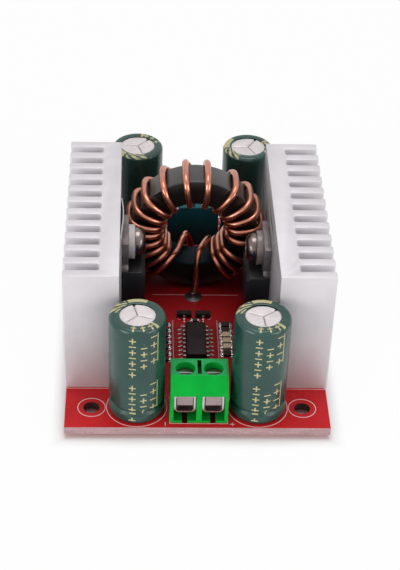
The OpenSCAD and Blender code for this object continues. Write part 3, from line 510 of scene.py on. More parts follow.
def swept(name, paths, profile, sizes, finish, smooth):
    """A mesh swept along paths with a profile that has named sizes: smooth wire, or else level strips."""
    kinds = {key: "Int" if isinstance(size, int) else "Float" for key, size in sizes.items()}
    tree = Growth(name + "_tree", kinds)
    path = tree.node("GeometryNodeMeshToCurve", {"Mesh": tree.given["Geometry"]})
    if not smooth:
        path = tree.node("GeometryNodeSetCurveNormal", {"Curve": path}, mode="Z_UP")
    form = tree.node(profile, {key: tree.given[key] for key in sizes})
    tube = tree.node("GeometryNodeCurveToMesh", {"Curve": path, "Profile Curve": form, "Fill Caps": True})
    shaded = tree.node("GeometryNodeSetShadeSmooth", {"Geometry": tube, "Shade Smooth": smooth})
    return tree.grow(name, shaded, chains(name + "_path", paths), {**sizes, "Finish": finish})


def copies(name, bm, places, finish):
    """One piece made of copies of a bmesh. Each place is (point, size)."""
    pattern = linked(name + "_shape", mesh_from(name + "_shape", bm))
    points = chains(name + "_points", [([point], False) for point, _ in places])
    stretch = points.attributes.new("size", "FLOAT_VECTOR", "POINT")
    for spot, (_, size) in zip(stretch.data, places):
        spot.vector = size
    tree = Growth(name + "_tree", {"Shape": "Object"})
    shape = tree.node("GeometryNodeObjectInfo", {"Object": tree.given["Shape"]}, "Geometry")
    scale = tree.node("GeometryNodeInputNamedAttribute", {"Name": "size"}, data_type="FLOAT_VECTOR")
    inputs = {"Points": tree.given["Geometry"], "Instance": shape, "Scale": scale}
    spread = tree.node("GeometryNodeInstanceOnPoints", inputs)
    mesh = tree.grow(name, spread, points, {"Shape": pattern, "Finish": finish})
    bpy.data.objects.remove(pattern)
    soften(mesh)
    settle(name, mesh, [finish])


# Board

# Painted shade in the middle of the board, between the tall parts: middle along the board, where it fades
# along and across it, and how dark it is
BOARD_SHADES = ((0.0, (23.0, 29.0), (13.5, 17.0), 0.46), (-16.7, (10.7, 14.0), (9.0, 11.5), 0.2))
# Thickness of the printed lines, their least distance from the rim of the board, and width of the rim's edge
SILK_THICK, SILK_MARGIN, RIM_EDGE = 0.024, 0.15, 0.2
# Printed ring round a capacitor: radius and steps
CAP_RING, CAP_RING_STEPS = 5.5, 96
# Distance of the printed frames from the terminals and heat sinks, across and along the board
TERMINAL_CLEAR, SINK_CLEAR = (0.05, 0.2), (0.3, 0.35)
# Printed pole marks: distance from the terminal's middle, place along the board and half length
POLE_ACROSS, POLE_ALONG, POLE_HALF = 6.05, 32.55, 0.42
# Printed ring by the controller: place from its middle and radius
PIN_MARK = (-2.4, 5.6, 0.3)
# Other printed lines, in plan
SILK_LINES = (((-4.1, -2.2), (-4.1, -16.6)), ((4.54, -2.2), (4.54, -16.6)), ((-8.0, 6.05), (9.0, 6.05)),
              ((4.54, -10.6), (7.9, -10.6)), ((-3.15, -1.3), (-2.98, -1.85), (-2.6, -1.95)),
              ((3.42, -1.3), (3.2, -1.85), (2.8, -1.95)))


def board_shade_share(f):
    """How much painted shade darkens the middle of the board and what is printed on it."""
    x, y, _ = f.axes(f.place())
    return sum(f.ramp(abs(y - place), *along, dark, 0) * f.ramp(abs(x), *across, 1, 0)
               for place, along, across, dark in BOARD_SHADES)


def mask_finish(board):
    """Red solder mask with painted shade in the middle of the board, painted shadow under the terminals and a
    faint weave.
    """
    f = Finish("board_mask", IOR=1.5, Specular_IOR_Level=0.14)
    cloud = f.noise(0.12)
    weave = f.noise(2.4, 2.0, stretch=(1.0, 1.0, 0.2))
    dust = f.noise(6.0, 2.0, 0.6)
    # Painted shade: the mask turns towards black in the middle of the board
    tone = f.mix(board_shade_share(f), f.clouded(board.mask, 0.84, cloud, 0.3, 0.7), BLACK)
    x, y, _ = f.axes(f.place())
    # Painted shadow on the board under each terminal block
    for end in ENDS:
        box = node_box(end + "_terminal")
        under = (abs(x - box.middle.x) < box.half.x) * (abs(y - box.middle.y) < box.half.y)
        tone = f.mix(under, tone, shade(board.mask, 0.12))
    tone = f.mix(f.ramp(dust, 0.68, 0.8, 0.0, 0.25), tone, board.silk)
    return f.coat(tone, 0.34, [(weave, 0.12), (cloud, 0.1)], weave, 0.012, 0.5)


def laminate_finish(board):
    """Sawn glass fibre edge: pale layers with a rough, speckled cut."""
    f = Finish("board_laminate", IOR=1.5, Specular_IOR_Level=0.2)
    layers = f.noise(1.0, 4.0, 0.6, (0.25, 0.25, 7.0))
    specks = f.noise(5.0, 4.0, 0.65)
    tone = f.clouded(board.laminate, 0.7, layers, 0.35, 0.68)
    tone = f.mix(f.ramp(specks, 0.56, 0.7), tone, (0.7, 0.53, 0.54))
    return f.coat(tone, 0.62, [(specks, 0.3)], specks + layers, 0.05, 0.6)


def silk_finish(board):
    """White board print, a little uneven in cover, with the same painted shade in the middle of the board."""
    f = Finish("board_silk", IOR=1.45, Specular_IOR_Level=0.2)
    wear = f.noise(3.0, 4.0, 0.65)
    # Painted shade: the print turns dark red in the middle of the board
    tone = f.mix(board_shade_share(f), f.clouded(board.silk, 0.8, wear, 0.55, 0.75), (0.2, 0.05, 0.05))
    return f.coat(tone, 0.5, [(wear, 0.2)], wear, 0.01, 0.4)


def board_part(face):
    """Mask on top and below, laminate round the rim and painted shade on the walls of the holes."""
    spot, reach = face.calc_center_median(), BOARD.half - Vector((RIM_EDGE, RIM_EDGE, 0))
    rim = abs(spot.x) > reach.x or abs(spot.y) > reach.y
    return 0 if abs(face.normal.z) > 0.5 else 1 if rim else 2


def frame_line(x0, x1, y0, y1):
    """A printed frame as (plan points, closed)."""
    return [(x0, y0), (x1, y0), (x1, y1), (x0, y1)], True


def silk_paths(ring):
    """The board's printed lines as (plan points, closed) pairs, with rings of a radius round the mounts."""
    reach = BOARD.half - Vector((SILK_MARGIN, SILK_MARGIN, 0))
    hole = frame["record"]["mounts"][0]["dims"]
    paths = [(circle(x * hole["spacing_x_mm"] / 2, y * hole["spacing_y_mm"] / 2, ring), True)
             for x in (-1, 1) for y in (-1, 1)]
    for spot in CAPS.values():
        line = circle(spot.x, spot.y, CAP_RING, CAP_RING_STEPS)
        start = CAP_RING_STEPS * (3 if spot.y < 0 else 1) // 4
        inside = [p for p in line[start:] + line[:start] if abs(p[1]) < reach.y]
        paths.append((inside, len(inside) == len(line)))
    for end in ENDS:
        low, high, spot, _ = node_box(end + "_terminal")
        across, along = TERMINAL_CLEAR
        paths.append(frame_line(low.x - across, high.x + across, low.y - along, high.y + along))
        outward = math.copysign(1, spot.y)
        for side in (-1, 1):
            x, y = spot.x + side * POLE_ACROSS, outward * POLE_ALONG
            paths.append(([(x, y - POLE_HALF), (x, y + POLE_HALF)], False))
            if side * outward < 0:
                paths.append(([(x - POLE_HALF, y), (x + POLE_HALF, y)], False))
    for side in SIDES:
        low, high, _, _ = node_box(side + "_heatsink")
        across, along = SINK_CLEAR
        x0, x1 = max(low.x, -reach.x), min(high.x, reach.x)
        x0, x1 = (x0, x1 + across) if side == "left" else (x0 - across, x1)
        paths.append(frame_line(x0, x1, low.y - along, high.y + along))
    chip = node_box("controller").middle
    paths.append((circle(chip.x + PIN_MARK[0], chip.y + PIN_MARK[1], PIN_MARK[2], 20), True))
    return paths + [(line, False) for line in SILK_LINES]


class ModuleBoard(bpy.types.Operator):
    """Dress the circuit board and print its lines"""
    bl_idname = "module.board"
    bl_label = "Circuit board"

    def execute(self, context):
        board = context.scene.module_board
        # The walls of the holes get a near-black painted shade
        wall = plastic_finish("board_hole_wall", (0.05, 0.015, 0.014), 0.6)
        refined("circuit_board", [mask_finish(board), laminate_finish(board), wall], 0.05, 1, 60, board_part)
        silk = silk_finish(board)
        z = BOARD_TOP + SILK_THICK / 2
        paths = [([(x, y, z) for x, y in points], closed) for points, closed in silk_paths(board.ring / MM)]
        sizes = {"Width": board.line, "Height": SILK_THICK * MM}
        mesh = swept("silk_lines", paths, "GeometryNodeCurvePrimitiveQuadrilateral", sizes, silk, False)
        settle("silk_lines", mesh, [silk])
        return {"FINISHED"}


# Heat sinks

# The inner faces lie just inside this distance from the middle. They get painted shade
SHADED_SINK_FACE = node_box("right_heatsink").low.x + 0.03


def sink_finish(metal):
    """Satin extruded aluminium with die lines up the fins, soft cloudy etching and painted shade on the inner
    faces.
    """
    f = Finish("sink_satin", Metallic=0.45, IOR=1.5, Specular_IOR_Level=0.3)
    die = f.noise(1.4, 4.0, 0.65, (2.6, 2.6, 0.02))
    cloud = f.noise(0.14, 4.0, 0.6)
    fine = f.noise(7.0, 2.0)
    across, _, _ = f.axes(f.place())
    tone = f.clouded(metal.sink, 0.93, cloud, 0.3, 0.7)
    # Painted shade: the inner faces, between the devices, turn darker
    tone = f.mix((abs(across) < SHADED_SINK_FACE) * 0.34, tone, (0.02, 0.018, 0.018))
    return f.coat(tone, 0.55, [(die, 0.16), (cloud, 0.12)], die * 0.7 + fine * 0.3, 0.02, 0.35)


class ModuleHeatsinks(bpy.types.Operator):
    """Round the edges of both heat sinks and give them their satin finish"""
    bl_idname = "module.heatsinks"
    bl_label = "Heat sinks"

    def execute(self, context):
        metal = context.scene.module_metal
        satin = sink_finish(metal)
        for side in SIDES:
            refined(side + "_heatsink", [satin], metal.edge / MM)
        return {"FINISHED"}


# Coil

# Angle of each turn in the hole and on the rim, clockwise from the top as seen from the front
TURNS = ((-141, -136), (-128, -125), (-116, -112.5), (-102.5, -101.5), (-89, -88), (-77, -77), (-64.5, -63.5),
         (-49, -49), (-36, -29.5), (-9.5, -9), (16, 10), (34, 36), (53, 54), (66, 68), (79, 82), (95, 98),
         (119.5, 119.5), (131.5, 132.5), (145, 142))
# Steps of a turn and the power that squares it
LOOP_STEPS, LOOP_POWER = 30, 0.68
# Phase at which a turn has reached the rim's angle, and phase at which it leaves for the next turn
LEAN_END, LEAN_KEEP = 150, 235
# First phase of the first turn, and the last phase and the last angle of the last one
FIRST_PHASE, LAST_PHASE, LAST_ANGLE = 60, 318, 153
# Free ends of the wire between the pads and the turns, with heights above the board
REAR_LEAD = ((0.1, 17.08, 1.0), (-0.1, 17.0, 3.4), (-0.6, 16.6, 6.2), (-1.2, 15.6, 8.5), (-1.75, 14.0, 9.1),
             (-2.5, 12.0, 8.4), (-3.2, 10.0, 8.0), (-3.75, 8.4, 8.2))
FRONT_LEAD = ((3.3, 14.8, 8.0), (2.65, 12.6, 8.9), (1.9, 10.6, 9.1), (1.3, 9.0, 9.2), (0.95, 7.9, 8.7),
              (0.72, 7.2, 7.3), (0.63, 6.8, 5.8), (0.62, 6.4, 3.6), (0.4, 5.85, 1.8), (0.1, 5.52, 0.9))
# Radius of the hole and of the core's edges, gap between the turns and the hole, and steps round the core
CORE_INNER, CORE_EDGE, HOLE_GAP, CORE_STEPS = 7.1, 0.3, 0.05, 128
# Height of the wire's ends above the underside of the board
WIRE_END = 0.05
# How much further the turns stand off behind the core than in front of it
REAR_BULGE = 0.4
# Solder round a coil lead: steps round it, and radius and height above the board
PAD_STEPS = 40
PAD_FILLET = ((0.6, 1.3), (0.72, 1.25), (0.8, 0.8), (0.95, 0.4), (1.25, 0.12), (1.7, 0.06), (1.78, 0.0),
              (0.6, 0.0))


def core_finish(coil):
    """Black epoxy coat: fine orange peel with small bare specks, glossy outside and dull in the bore, where
    it takes a painted bluish reflection.
    """
    f = Finish("core_coat", IOR=1.5, Specular_IOR_Level=0.05, Coat_Roughness=0.28, Coat_IOR=1.6)
    peel = f.noise(1.6, 3.0, 0.55)
    fine = f.noise(7.0, 3.0, 0.6)
    x, _, z = f.axes(f.place(middle=CORE.middle))
    radius = (x * x + z * z).math("SQRT")
    f.put("Coat Weight", f.ramp(radius, 10.0, 12.0, 0.04, 0.9))
    tone = f.mix(f.ramp(fine, 0.62, 0.74), coil.core, (0.03, 0.027, 0.026))
    # Painted bluish reflection in the bore
    tone = f.mix(f.ramp(radius, CORE_INNER + 0.05, CORE_INNER + 0.6, 1, 0), tone, coil.bore)
    return f.coat(tone, 0.4, [(peel, 0.2), (fine, 0.1)], peel * 0.7 + fine * 0.3, 0.04, 0.5)


def copper_finish(coil):
    """Enamelled copper: a clear coat over metal with darker stretches, tinned near the board."""
    f = Finish("copper_enamel", Metallic=1.0, IOR=1.5, Coat_Roughness=0.11, Coat_IOR=1.55)
    stretch = f.noise(0.5, 3.0, 0.55)
    draw = f.noise(4.0, 3.0, 0.6)
    _, _, z = f.axes(f.place())
    f.put("Coat Weight", 0.4 + stretch * 0.3)
    tone = f.clouded(coil.copper, 0.8, stretch, 0.3, 0.7)
    tone = f.mix(f.ramp(z, 3.0, 5.2, 0.75, 0.0), tone, (0.36, 0.27, 0.23))
    return f.coat(tone, 0.3, [(stretch, 0.14), (draw, 0.1)], draw, 0.01, 0.3)


def loop_place(half_r, half_y, mid_r, phase, angle):
    """A point of a turn: phase 0 is in the hole, 90 in front, 180 outside and 270 behind."""
    phase, angle = math.radians(phase), math.radians(angle)
    r = mid_r - half_r * bent(math.cos(phase), LOOP_POWER)
    back = -bent(math.sin(phase), LOOP_POWER)
    y = back * (half_y + REAR_BULGE if back > 0 else half_y)
    return CORE.middle + Vector((r * math.sin(angle), y, r * math.cos(angle)))


def winding_path(coil):
    """Centre line of the wire from the rear pad through every turn to the front pad."""
    wire = coil.wire / 2 / MM
    rim, hole = CORE.half.z + coil.slack / MM + wire, CORE_INNER - HOLE_GAP - wire
    shape = ((rim - hole) / 2, CORE.half.y + coil.bulge / MM + wire, (rim + hole) / 2)
    foot = BOARD.low.z + WIRE_END
    rear, front = ([(x, y, BOARD_TOP + z) for x, y, z in lead] for lead in (REAR_LEAD, FRONT_LEAD))
    path = [(*rear[0][:2], foot)] + rear
    following = [hole_angle for hole_angle, _ in TURNS[1:]] + [LAST_ANGLE]
    for k, ((inner, outer), after) in enumerate(zip(TURNS, following)):
        for step in range(LOOP_STEPS):
            phase = 360 * step / LOOP_STEPS
            if (k == 0 and phase < FIRST_PHASE) or (k == len(TURNS) - 1 and phase > LAST_PHASE):
                continue
            angle = inner + (outer - inner) * ease(phase / LEAN_END)
            angle += (after - outer) * ease((phase - LEAN_KEEP) / (360 - LEAN_KEEP))
            path.append(loop_place(*shape, phase, angle))
    return path + front + [(*front[-1][:2], foot)]


def rounded_path(path, passes=2):
    """Corner cutting that keeps both ends."""
    path = [Vector(p) for p in path]
    for _ in range(passes):
        cuts = [a.lerp(b, share) for a, b in zip(path, path[1:]) for share in (0.25, 0.75)]
        path = [path[0], *cuts, path[-1]]
    return path


def core_shape():
    """The upright core ring with rounded edges."""
    outer, inner = CORE.half.z - CORE_EDGE, CORE_INNER + CORE_EDGE
    flat = CORE.half.y - CORE_EDGE
    outline = []
    for k, corner in enumerate(((outer, flat), (inner, flat), (inner, -flat), (outer, -flat))):
        outline += arc(corner, CORE_EDGE, 90 * k, 90 * k + 90, 6)
    bm = bmesh.new()
    lathe(bm, outline, (0, 0, 0), CORE_STEPS)
    upright = Matrix.Translation(CORE.middle) @ Matrix.Rotation(math.radians(90), 4, "X")
    bmesh.ops.transform(bm, matrix=upright, verts=bm.verts)
    return bm


class ModuleCoil(bpy.types.Operator):
    """Wind the coil on its core and solder its leads"""
    bl_idname = "module.coil"
    bl_label = "Coil"

    def execute(self, context):
        coil = context.scene.module_coil
        copper = copper_finish(coil)
        path = rounded_path(winding_path(coil))
        sizes = {"Radius": coil.wire / 2, "Resolution": coil.sides}
        mesh = swept("winding", [(path, False)], "GeometryNodeCurvePrimitiveCircle", sizes, copper, True)
        settle("winding", mesh, [copper], "coil_winding")
        piece_from("core_ring", core_shape(), [core_finish(coil)], "coil_core")
        dull = metal_finish("pad_dull", (0.12, 0.11, 0.11), 0.5)
        bm = bmesh.new()
        for x, y, _ in (REAR_LEAD[0], FRONT_LEAD[-1]):
            lathe(bm, PAD_FILLET, (x, y, BOARD_TOP), PAD_STEPS)
        piece_from("coil_pads", bm, [dull], degrees=50)
        return {"FINISHED"}


# Capacitors

CAP_HEIGHT, CAP_RADIUS, CAP_STEPS = 2 * SLEEVE.half.z, SLEEVE.half.x, 96
# Groove round a sleeve: its height, its depth and the radius of its section
GROOVE = (2.5, 0.55, 0.8)
# Radius of the sleeve's edges and of the opening in its foot, and its thickness
CAP_EDGE, FOOT_RADIUS, FILM = 0.8, 4.2, 0.12
# Each capacitor's disc radius, share by which its print is turned, angle of its score and gap behind its disc
CAP_LOOKS = {"front_left": (3.17, 0, 103, 0.12), "front_right": (3.17, 0, 157, 0.3),
             "rear_left": (3.38, -0.33, 170, 0.15), "rear_right": (3.38, -0.2, 60, 0.2)}
# Height that one unit of the sleeve's map stands for
MAP_HEIGHT = 100
# Printed columns: place along the girth from the front, half width, pitch, and start and end in each repeat
PRINT_REPEAT, PRINT_STROKE = 10.6, 0.12
PRINT_COLUMNS = ((-0.85, 0.62, 1.25, 0.4, 9.2), (1.2, 0.6, 1.35, 2.2, 7.7), (3.1, 0.65, 1.8, 2.7, 10.0))
# Printed rule beside them: place along the girth, and start and end in each repeat
RULE, RULE_START, RULE_END = 4.0, 3.2, 9.4
# Columns stop below the fold. Plus marks on the shoulder: middle inwards from the fold, and half height
COLUMN_STOP, SHOULDER_MARK, SHOULDER_HALF = -0.5, 0.36, 0.55
# Rule on the shoulder: shift along the girth, half width and start below the fold
RULE_SHIFT, RULE_HALF, RULE_FROM = 0.2, 0.32, -0.3
# Band on the shoulder: start along the girth, middle inwards from the fold, and half width
BAND_START, BAND_MIDDLE, BAND_HALF = 13.7, 0.1, 0.45
# Streaks on the shoulder: place and half width along the girth, middle and half width inwards, and pitch
STREAKS = (-10.9, 2.3, 0.25, 0.65, 0.6)
# Vent disc: rings and steps of its mesh, lap under the sleeve, crown, drop below the sleeve's top and wall
VENT_RINGS, VENT_STEPS, VENT_LAP, VENT_CROWN, VENT_DROP, VENT_WALL = 40, 144, 0.25, 0.1, 0.2, 1.0
# Gap behind a disc: sine of the angle where it starts, how fast it widens, width of its edge and darkness of
# its painted shadow
GAP_FROM, GAP_RATE, GAP_EDGE, GAP_SHADOW = 0.45, 1.8, 0.1, 2.4
# Vent score: half width of its line, which is cut and painted with shade, and share and half width of the sag
# round it
SCORE_HALF, SAG, SAG_HALF = 0.12, 0.3, 0.9
# Arms of the score: start behind the middle, gap to the rim and run of their end
ARM_START, ARM_GAP, ARM_RUN = 0.1, 0.15, 0.7
# Notch at the rim on a rear arm, cut and painted with shade: length, half width and least sine of the arm's
# angle
TEAR_LENGTH, TEAR_HALF, TEAR_FROM = 0.5, 0.2, 0.5


def sleeve_finish(capacitor):
    """Dark green shrink sleeve with a pale printed polarity stripe. Marks follow the sleeve's own map."""
    f = Finish("sleeve_print", IOR=1.52, Specular_IOR_Level=0.45)
    around, height, _ = f.axes(f.node("ShaderNodeUVMap", uv_map="wrap"))
    girth = ((around - 0.25) % 1 - 0.5) * (2 * math.pi * CAP_RADIUS)
    z = height * MAP_HEIGHT
    fold = z - CAP_HEIGHT
    run = z % PRINT_REPEAT
    marks = (abs(girth - RULE) < PRINT_STROKE * 0.8) * (run > RULE_START) * (run < RULE_END)
    for place, half, pitch, start, end in PRINT_COLUMNS:
        across, along = abs(girth - place), abs((run - start) % pitch - pitch / 2)
        minus = (across < half) * (along < PRINT_STROKE)
        plus = (across < PRINT_STROKE) * (along < half) * (((run - start) % (2 * pitch)) < pitch)
        marks = marks + (minus + plus) * (run > start) * (run < end) * (fold < COLUMN_STOP)
        inwards = abs(fold - SHOULDER_MARK)
        marks = marks + (across < half) * (inwards < PRINT_STROKE * 1.2)
        marks = marks + (across < PRINT_STROKE * 1.4) * (inwards < SHOULDER_HALF)
    rule = (abs(girth - RULE - RULE_SHIFT) < RULE_HALF) * (fold > RULE_FROM)
    band = (abs(girth) > BAND_START) * (abs(fold - BAND_MIDDLE) < BAND_HALF)
    place, half, middle, reach, pitch = STREAKS
    streaks = (abs(girth - place) < half) * (abs(fold - middle) < reach)
    streaks = streaks * (((fold + girth * 0.3) % pitch) < pitch / 2)
    marks = marks * (z > 0.9) + rule + band + streaks
    wear = f.noise(3.0, 3.0, 0.6)
    cloud = f.noise(0.2)
    cover = f.ramp(marks, 0.0, 1.0) * f.ramp(wear, 0.28, 0.42, 0.55, 1.0)
    tone = f.mix(cover, f.clouded(capacitor.sleeve, 1.25, cloud, 0.3, 0.7), capacitor.marks)
    return f.coat(tone, 0.27, [(cloud, 0.12)], cloud, 0.06, 0.4)


def can_finish(capacitor):
    """Drawn aluminium: matt silver with faint clouds and painted shade in the vent scores and the gap behind
    the disc.
    """
    f = Finish("can_drawn", Metallic=0.4, IOR=1.5, Specular_IOR_Level=0.3)
    cloud = f.noise(0.6, 4.0, 0.6)
    fine = f.noise(8.0, 2.0)
    score = f.node("ShaderNodeAttribute", output="Fac", attribute_name="score")
    tone = f.clouded(capacitor.can, 0.9, cloud, 0.35, 0.7)
    # Painted shade: the score attribute darkens the scores, the notch and the gap behind the disc
    tone = f.mix(score * 0.42, tone, shade(capacitor.can, 0.04))
    return f.coat(tone, 0.42, [(cloud, 0.2), (fine, 0.1)], fine * 0.5 + cloud, 0.02, 0.4)


def sleeve_outline(disc):
    """Outer skin of a sleeve from the foot fold to the top fold, then back along the inside."""
    level, depth, radius = GROOVE
    swing = math.degrees(math.acos((radius - depth) / radius))
    bend, inside, top = CAP_RADIUS - CAP_EDGE, CAP_RADIUS - FILM, CAP_HEIGHT - FILM
    skin = [(FOOT_RADIUS, 0.0)] + arc((bend, CAP_EDGE), CAP_EDGE, -90, 0, 8)
    skin += arc((CAP_RADIUS - depth + radius, level), radius, 180 + swing, 180 - swing, 10)
    skin += [(CAP_RADIUS, CAP_HEIGHT * k / 6) for k in range(2, 5)]
    skin += arc((bend, CAP_HEIGHT - CAP_EDGE), CAP_EDGE, 0, 90, 8)
    skin += [(disc + 0.12, CAP_HEIGHT), (disc, CAP_HEIGHT - 0.05)]
    back = [(disc, top), (bend, top), (inside - FILM, CAP_HEIGHT - CAP_EDGE), (inside, CAP_HEIGHT * 0.6),
            (inside, 3.6), (inside - depth, level), (inside, 1.85), (inside, CAP_EDGE), (FOOT_RADIUS, FILM)]
    return skin + back


def turn_share(spot):
    """Share of a turn about the upright axis at which a point lies."""
    return math.atan2(spot.y, spot.x) / (2 * math.pi) % 1


def wrap_map(bm, layer, middle, shift):
    """Maps a sleeve: share of a turn across, and height up, which runs on inwards over the top fold."""
    for face in bm.faces:
        face_turn = turn_share(face.calc_center_median() - middle)
        for loop in face.loops:
            spot = loop.vert.co - middle
            turn, up = turn_share(spot), spot.z
            if up > CAP_HEIGHT / 2:
                up += max(0, CAP_RADIUS - CAP_EDGE - spot.xy.length)
            loop[layer].uv = (turn + round(face_turn - turn) + shift, up / MAP_HEIGHT)


def sleeve_shape(foot, disc, shift):
    """A sleeve with the map that its print follows."""
    bm = bmesh.new()
    layer = bm.loops.layers.uv.new("wrap")
    lathe(bm, sleeve_outline(disc), foot, CAP_STEPS)
    wrap_map(bm, layer, foot, shift)
    return bm


def vent_press(x, y, disc, turn, gap):
    """How deep the vent score and the gap behind the disc are at a point of a can's top, and how dark their
    painted shade is.
    """
    radius = math.hypot(x, y)
    behind = y / radius - GAP_FROM if radius else 0
    cut = ease((radius - disc + GAP_RATE * gap * behind) / GAP_EDGE) if behind > 0 else 0
    dark = GAP_SHADOW * cut
    for arm in range(3):
        angle = math.radians(turn + 120 * arm)
        c, s = math.cos(angle), math.sin(angle)
        along, across = x * c + y * s, y * c - x * s
        if along > -ARM_START:
            reach = ease((disc - ARM_GAP - along) / ARM_RUN)
            line = math.exp(-(across / SCORE_HALF) ** 2) * reach
            sag = SAG * math.exp(-(across / SAG_HALF) ** 2) * reach
            tear = s > TEAR_FROM and along > disc - TEAR_LENGTH and abs(across) < TEAR_HALF
            cut, dark = max(cut, line + sag, tear), max(dark, line, GAP_SHADOW * tear)
    return cut, dark


def vent_shape(foot, disc, turn, depth, gap):
    """Bare can top with a three-armed vent score pressed into it and a gap behind it, both with painted
    shade.
    """
    bm = bmesh.new()
    # This layer holds the painted shade of the scores, the notch and the gap
    score = bm.verts.layers.float.new("score")
    rows = []
    for i in range(VENT_RINGS + 1):
        share = i / VENT_RINGS
        rows.append([])
        for x, y in circle(0, 0, (disc + VENT_LAP) * share, VENT_STEPS if i else 1):
            cut, dark = vent_press(x, y, disc, turn, gap)
            z = CAP_HEIGHT - VENT_DROP + VENT_CROWN * (1 - share ** 2) - depth * cut
            rows[-1].append(bm.verts.new(foot + Vector((x, y, z))))
            rows[-1][-1][score] = dark
    for low, high in zip(rows, rows[1:]):
        bridge(bm, low, high)
    wall = bmesh.ops.extrude_edge_only(bm, edges=[e for e in bm.edges if e.is_boundary])["geom"]
    low = [v for v in wall if isinstance(v, bmesh.types.BMVert)]
    bmesh.ops.translate(bm, verts=low, vec=(0, 0, -VENT_WALL))
    bmesh.ops.holes_fill(bm, edges=[e for e in bm.edges if e.is_boundary], sides=0)
    bmesh.ops.recalc_face_normals(bm, faces=bm.faces)
    return bm


class ModuleCapacitors(bpy.types.Operator):
    """Sleeve the capacitors and press their vents"""
    bl_idname = "module.capacitors"
    bl_label = "Capacitors"

    def execute(self, context):
        capacitor = context.scene.module_capacitor
        printed, bare = sleeve_finish(capacitor), can_finish(capacitor)
        rubber = plastic_finish("seal_rubber", (0.02, 0.02, 0.02), 0.6)
        for name, spot in CAPS.items():
            foot = Vector((spot.x, spot.y, BOARD_TOP))
            disc, print_turn, score_turn, gap = CAP_LOOKS[name]
            piece_from(name + "_wrap", sleeve_shape(foot, disc, print_turn), [printed], name + "_sleeve")
            vent = vent_shape(foot, disc, score_turn, capacitor.score / MM, gap)
            piece_from(name + "_vent", vent, [bare], name + "_can", degrees=50)
            refined(name + "_seal", [rubber], 0.1, degrees=28)
        return {"FINISHED"}


# Terminals

# Height of a wire entry, end of the slope, and width and depth of the notch of a terminal block
ENTRY_TOP, SLOPE_END, NOTCH_WIDTH, NOTCH_DEPTH = 6.2, 2.5, 0.7, 1.5
# Painted sheen that the front housing's top adds to its colour
TOP_SHEEN = (0.02, 0.0, 0.055)
# Wall, floor and corner radius of a cage, thickness of its top plate, radius of its hole and steps round it
CAGE_WALL, CAGE_FLOOR, CAGE_ROUND, CAGE_TOP, CAGE_HOLE, CAGE_STEPS = 0.36, 0.3, 1.0, 0.6, 1.21, 40


def moulding_part(node):
    """Picks the finish of each face of a housing: skin, painted shade inside the wire entries and in the
    notch, or the top with painted sheen.
    """
    low, high, middle, half = node_box(node)
    edge = 0.05

    def pick(face):
        spot = face.calc_center_median()
        depth = spot.y - low.y if middle.y < 0 else high.y - spot.y
        across = abs(spot.x - middle.x)
        between = depth > SLOPE_END and across < NOTCH_WIDTH / 2 + 0.02
        if between and high.z - NOTCH_DEPTH - edge < spot.z < high.z - edge:
            return 2
        if spot.z > high.z - edge:
            return 3
        inner = 0.15 < depth < 2 * half.y - 0.3 and across < half.x - 0.4
        return 1 if inner and low.z + 0.02 < spot.z < low.z + ENTRY_TOP else 0

    return pick


def cage_shape(node):
    """A cage bent from strip: a U with round corners under a plate with a hole for the screw."""
    low, high, middle, half = node_box(node)
    screw = node_box(node.replace("cage", "screw")).middle
    plate = high.z - CAGE_TOP
    bm = bmesh.new()
    rows, rings = [], []
    for y in (low.y, high.y):
        for inset, floor in ((0, 0), (CAGE_WALL, CAGE_FLOOR)):
            r, w, z = CAGE_ROUND - inset, half.x - inset, low.z + floor
            bend = arc((r - w, z + r), r, 180, 270, 8) + arc((w - r, z + r), r, 270, 360, 8)
            strip = [(-w, plate), *bend, (w, plate)]
            rows.append([bm.verts.new((middle.x + x, y, height)) for x, height in strip])
    turns = {2 * math.pi * k / CAGE_STEPS - math.pi for k in range(CAGE_STEPS)}
    turns |= {math.atan2(y - screw.y, x - screw.x) for x in (low.x, high.x) for y in (low.y, high.y)}
    for z in (plate, high.z):
        hole, rim = [], []
        for turn in sorted(turns):
            way = Vector((math.cos(turn), math.sin(turn), 0))
            reach = min(((high if way[k] > 0 else low)[k] - screw[k]) / way[k] for k in (0, 1)
                        if abs(way[k]) > 1e-6)
            for ring, radius in ((hole, CAGE_HOLE), (rim, reach)):
                ring.append(bm.verts.new((screw.x + radius * way.x, screw.y + radius * way.y, z)))
        rings += [hole, rim]
    for a, b in ((0, 1), (1, 3), (3, 2), (2, 0)):
        bridge(bm, rows[a], rows[b], False)
        bridge(bm, rings[a], rings[b])
    for k in (0, -1):
        bm.faces.new([rows[i][k] for i in (0, 1, 3, 2)])
    bmesh.ops.recalc_face_normals(bm, faces=bm.faces)
    return bm


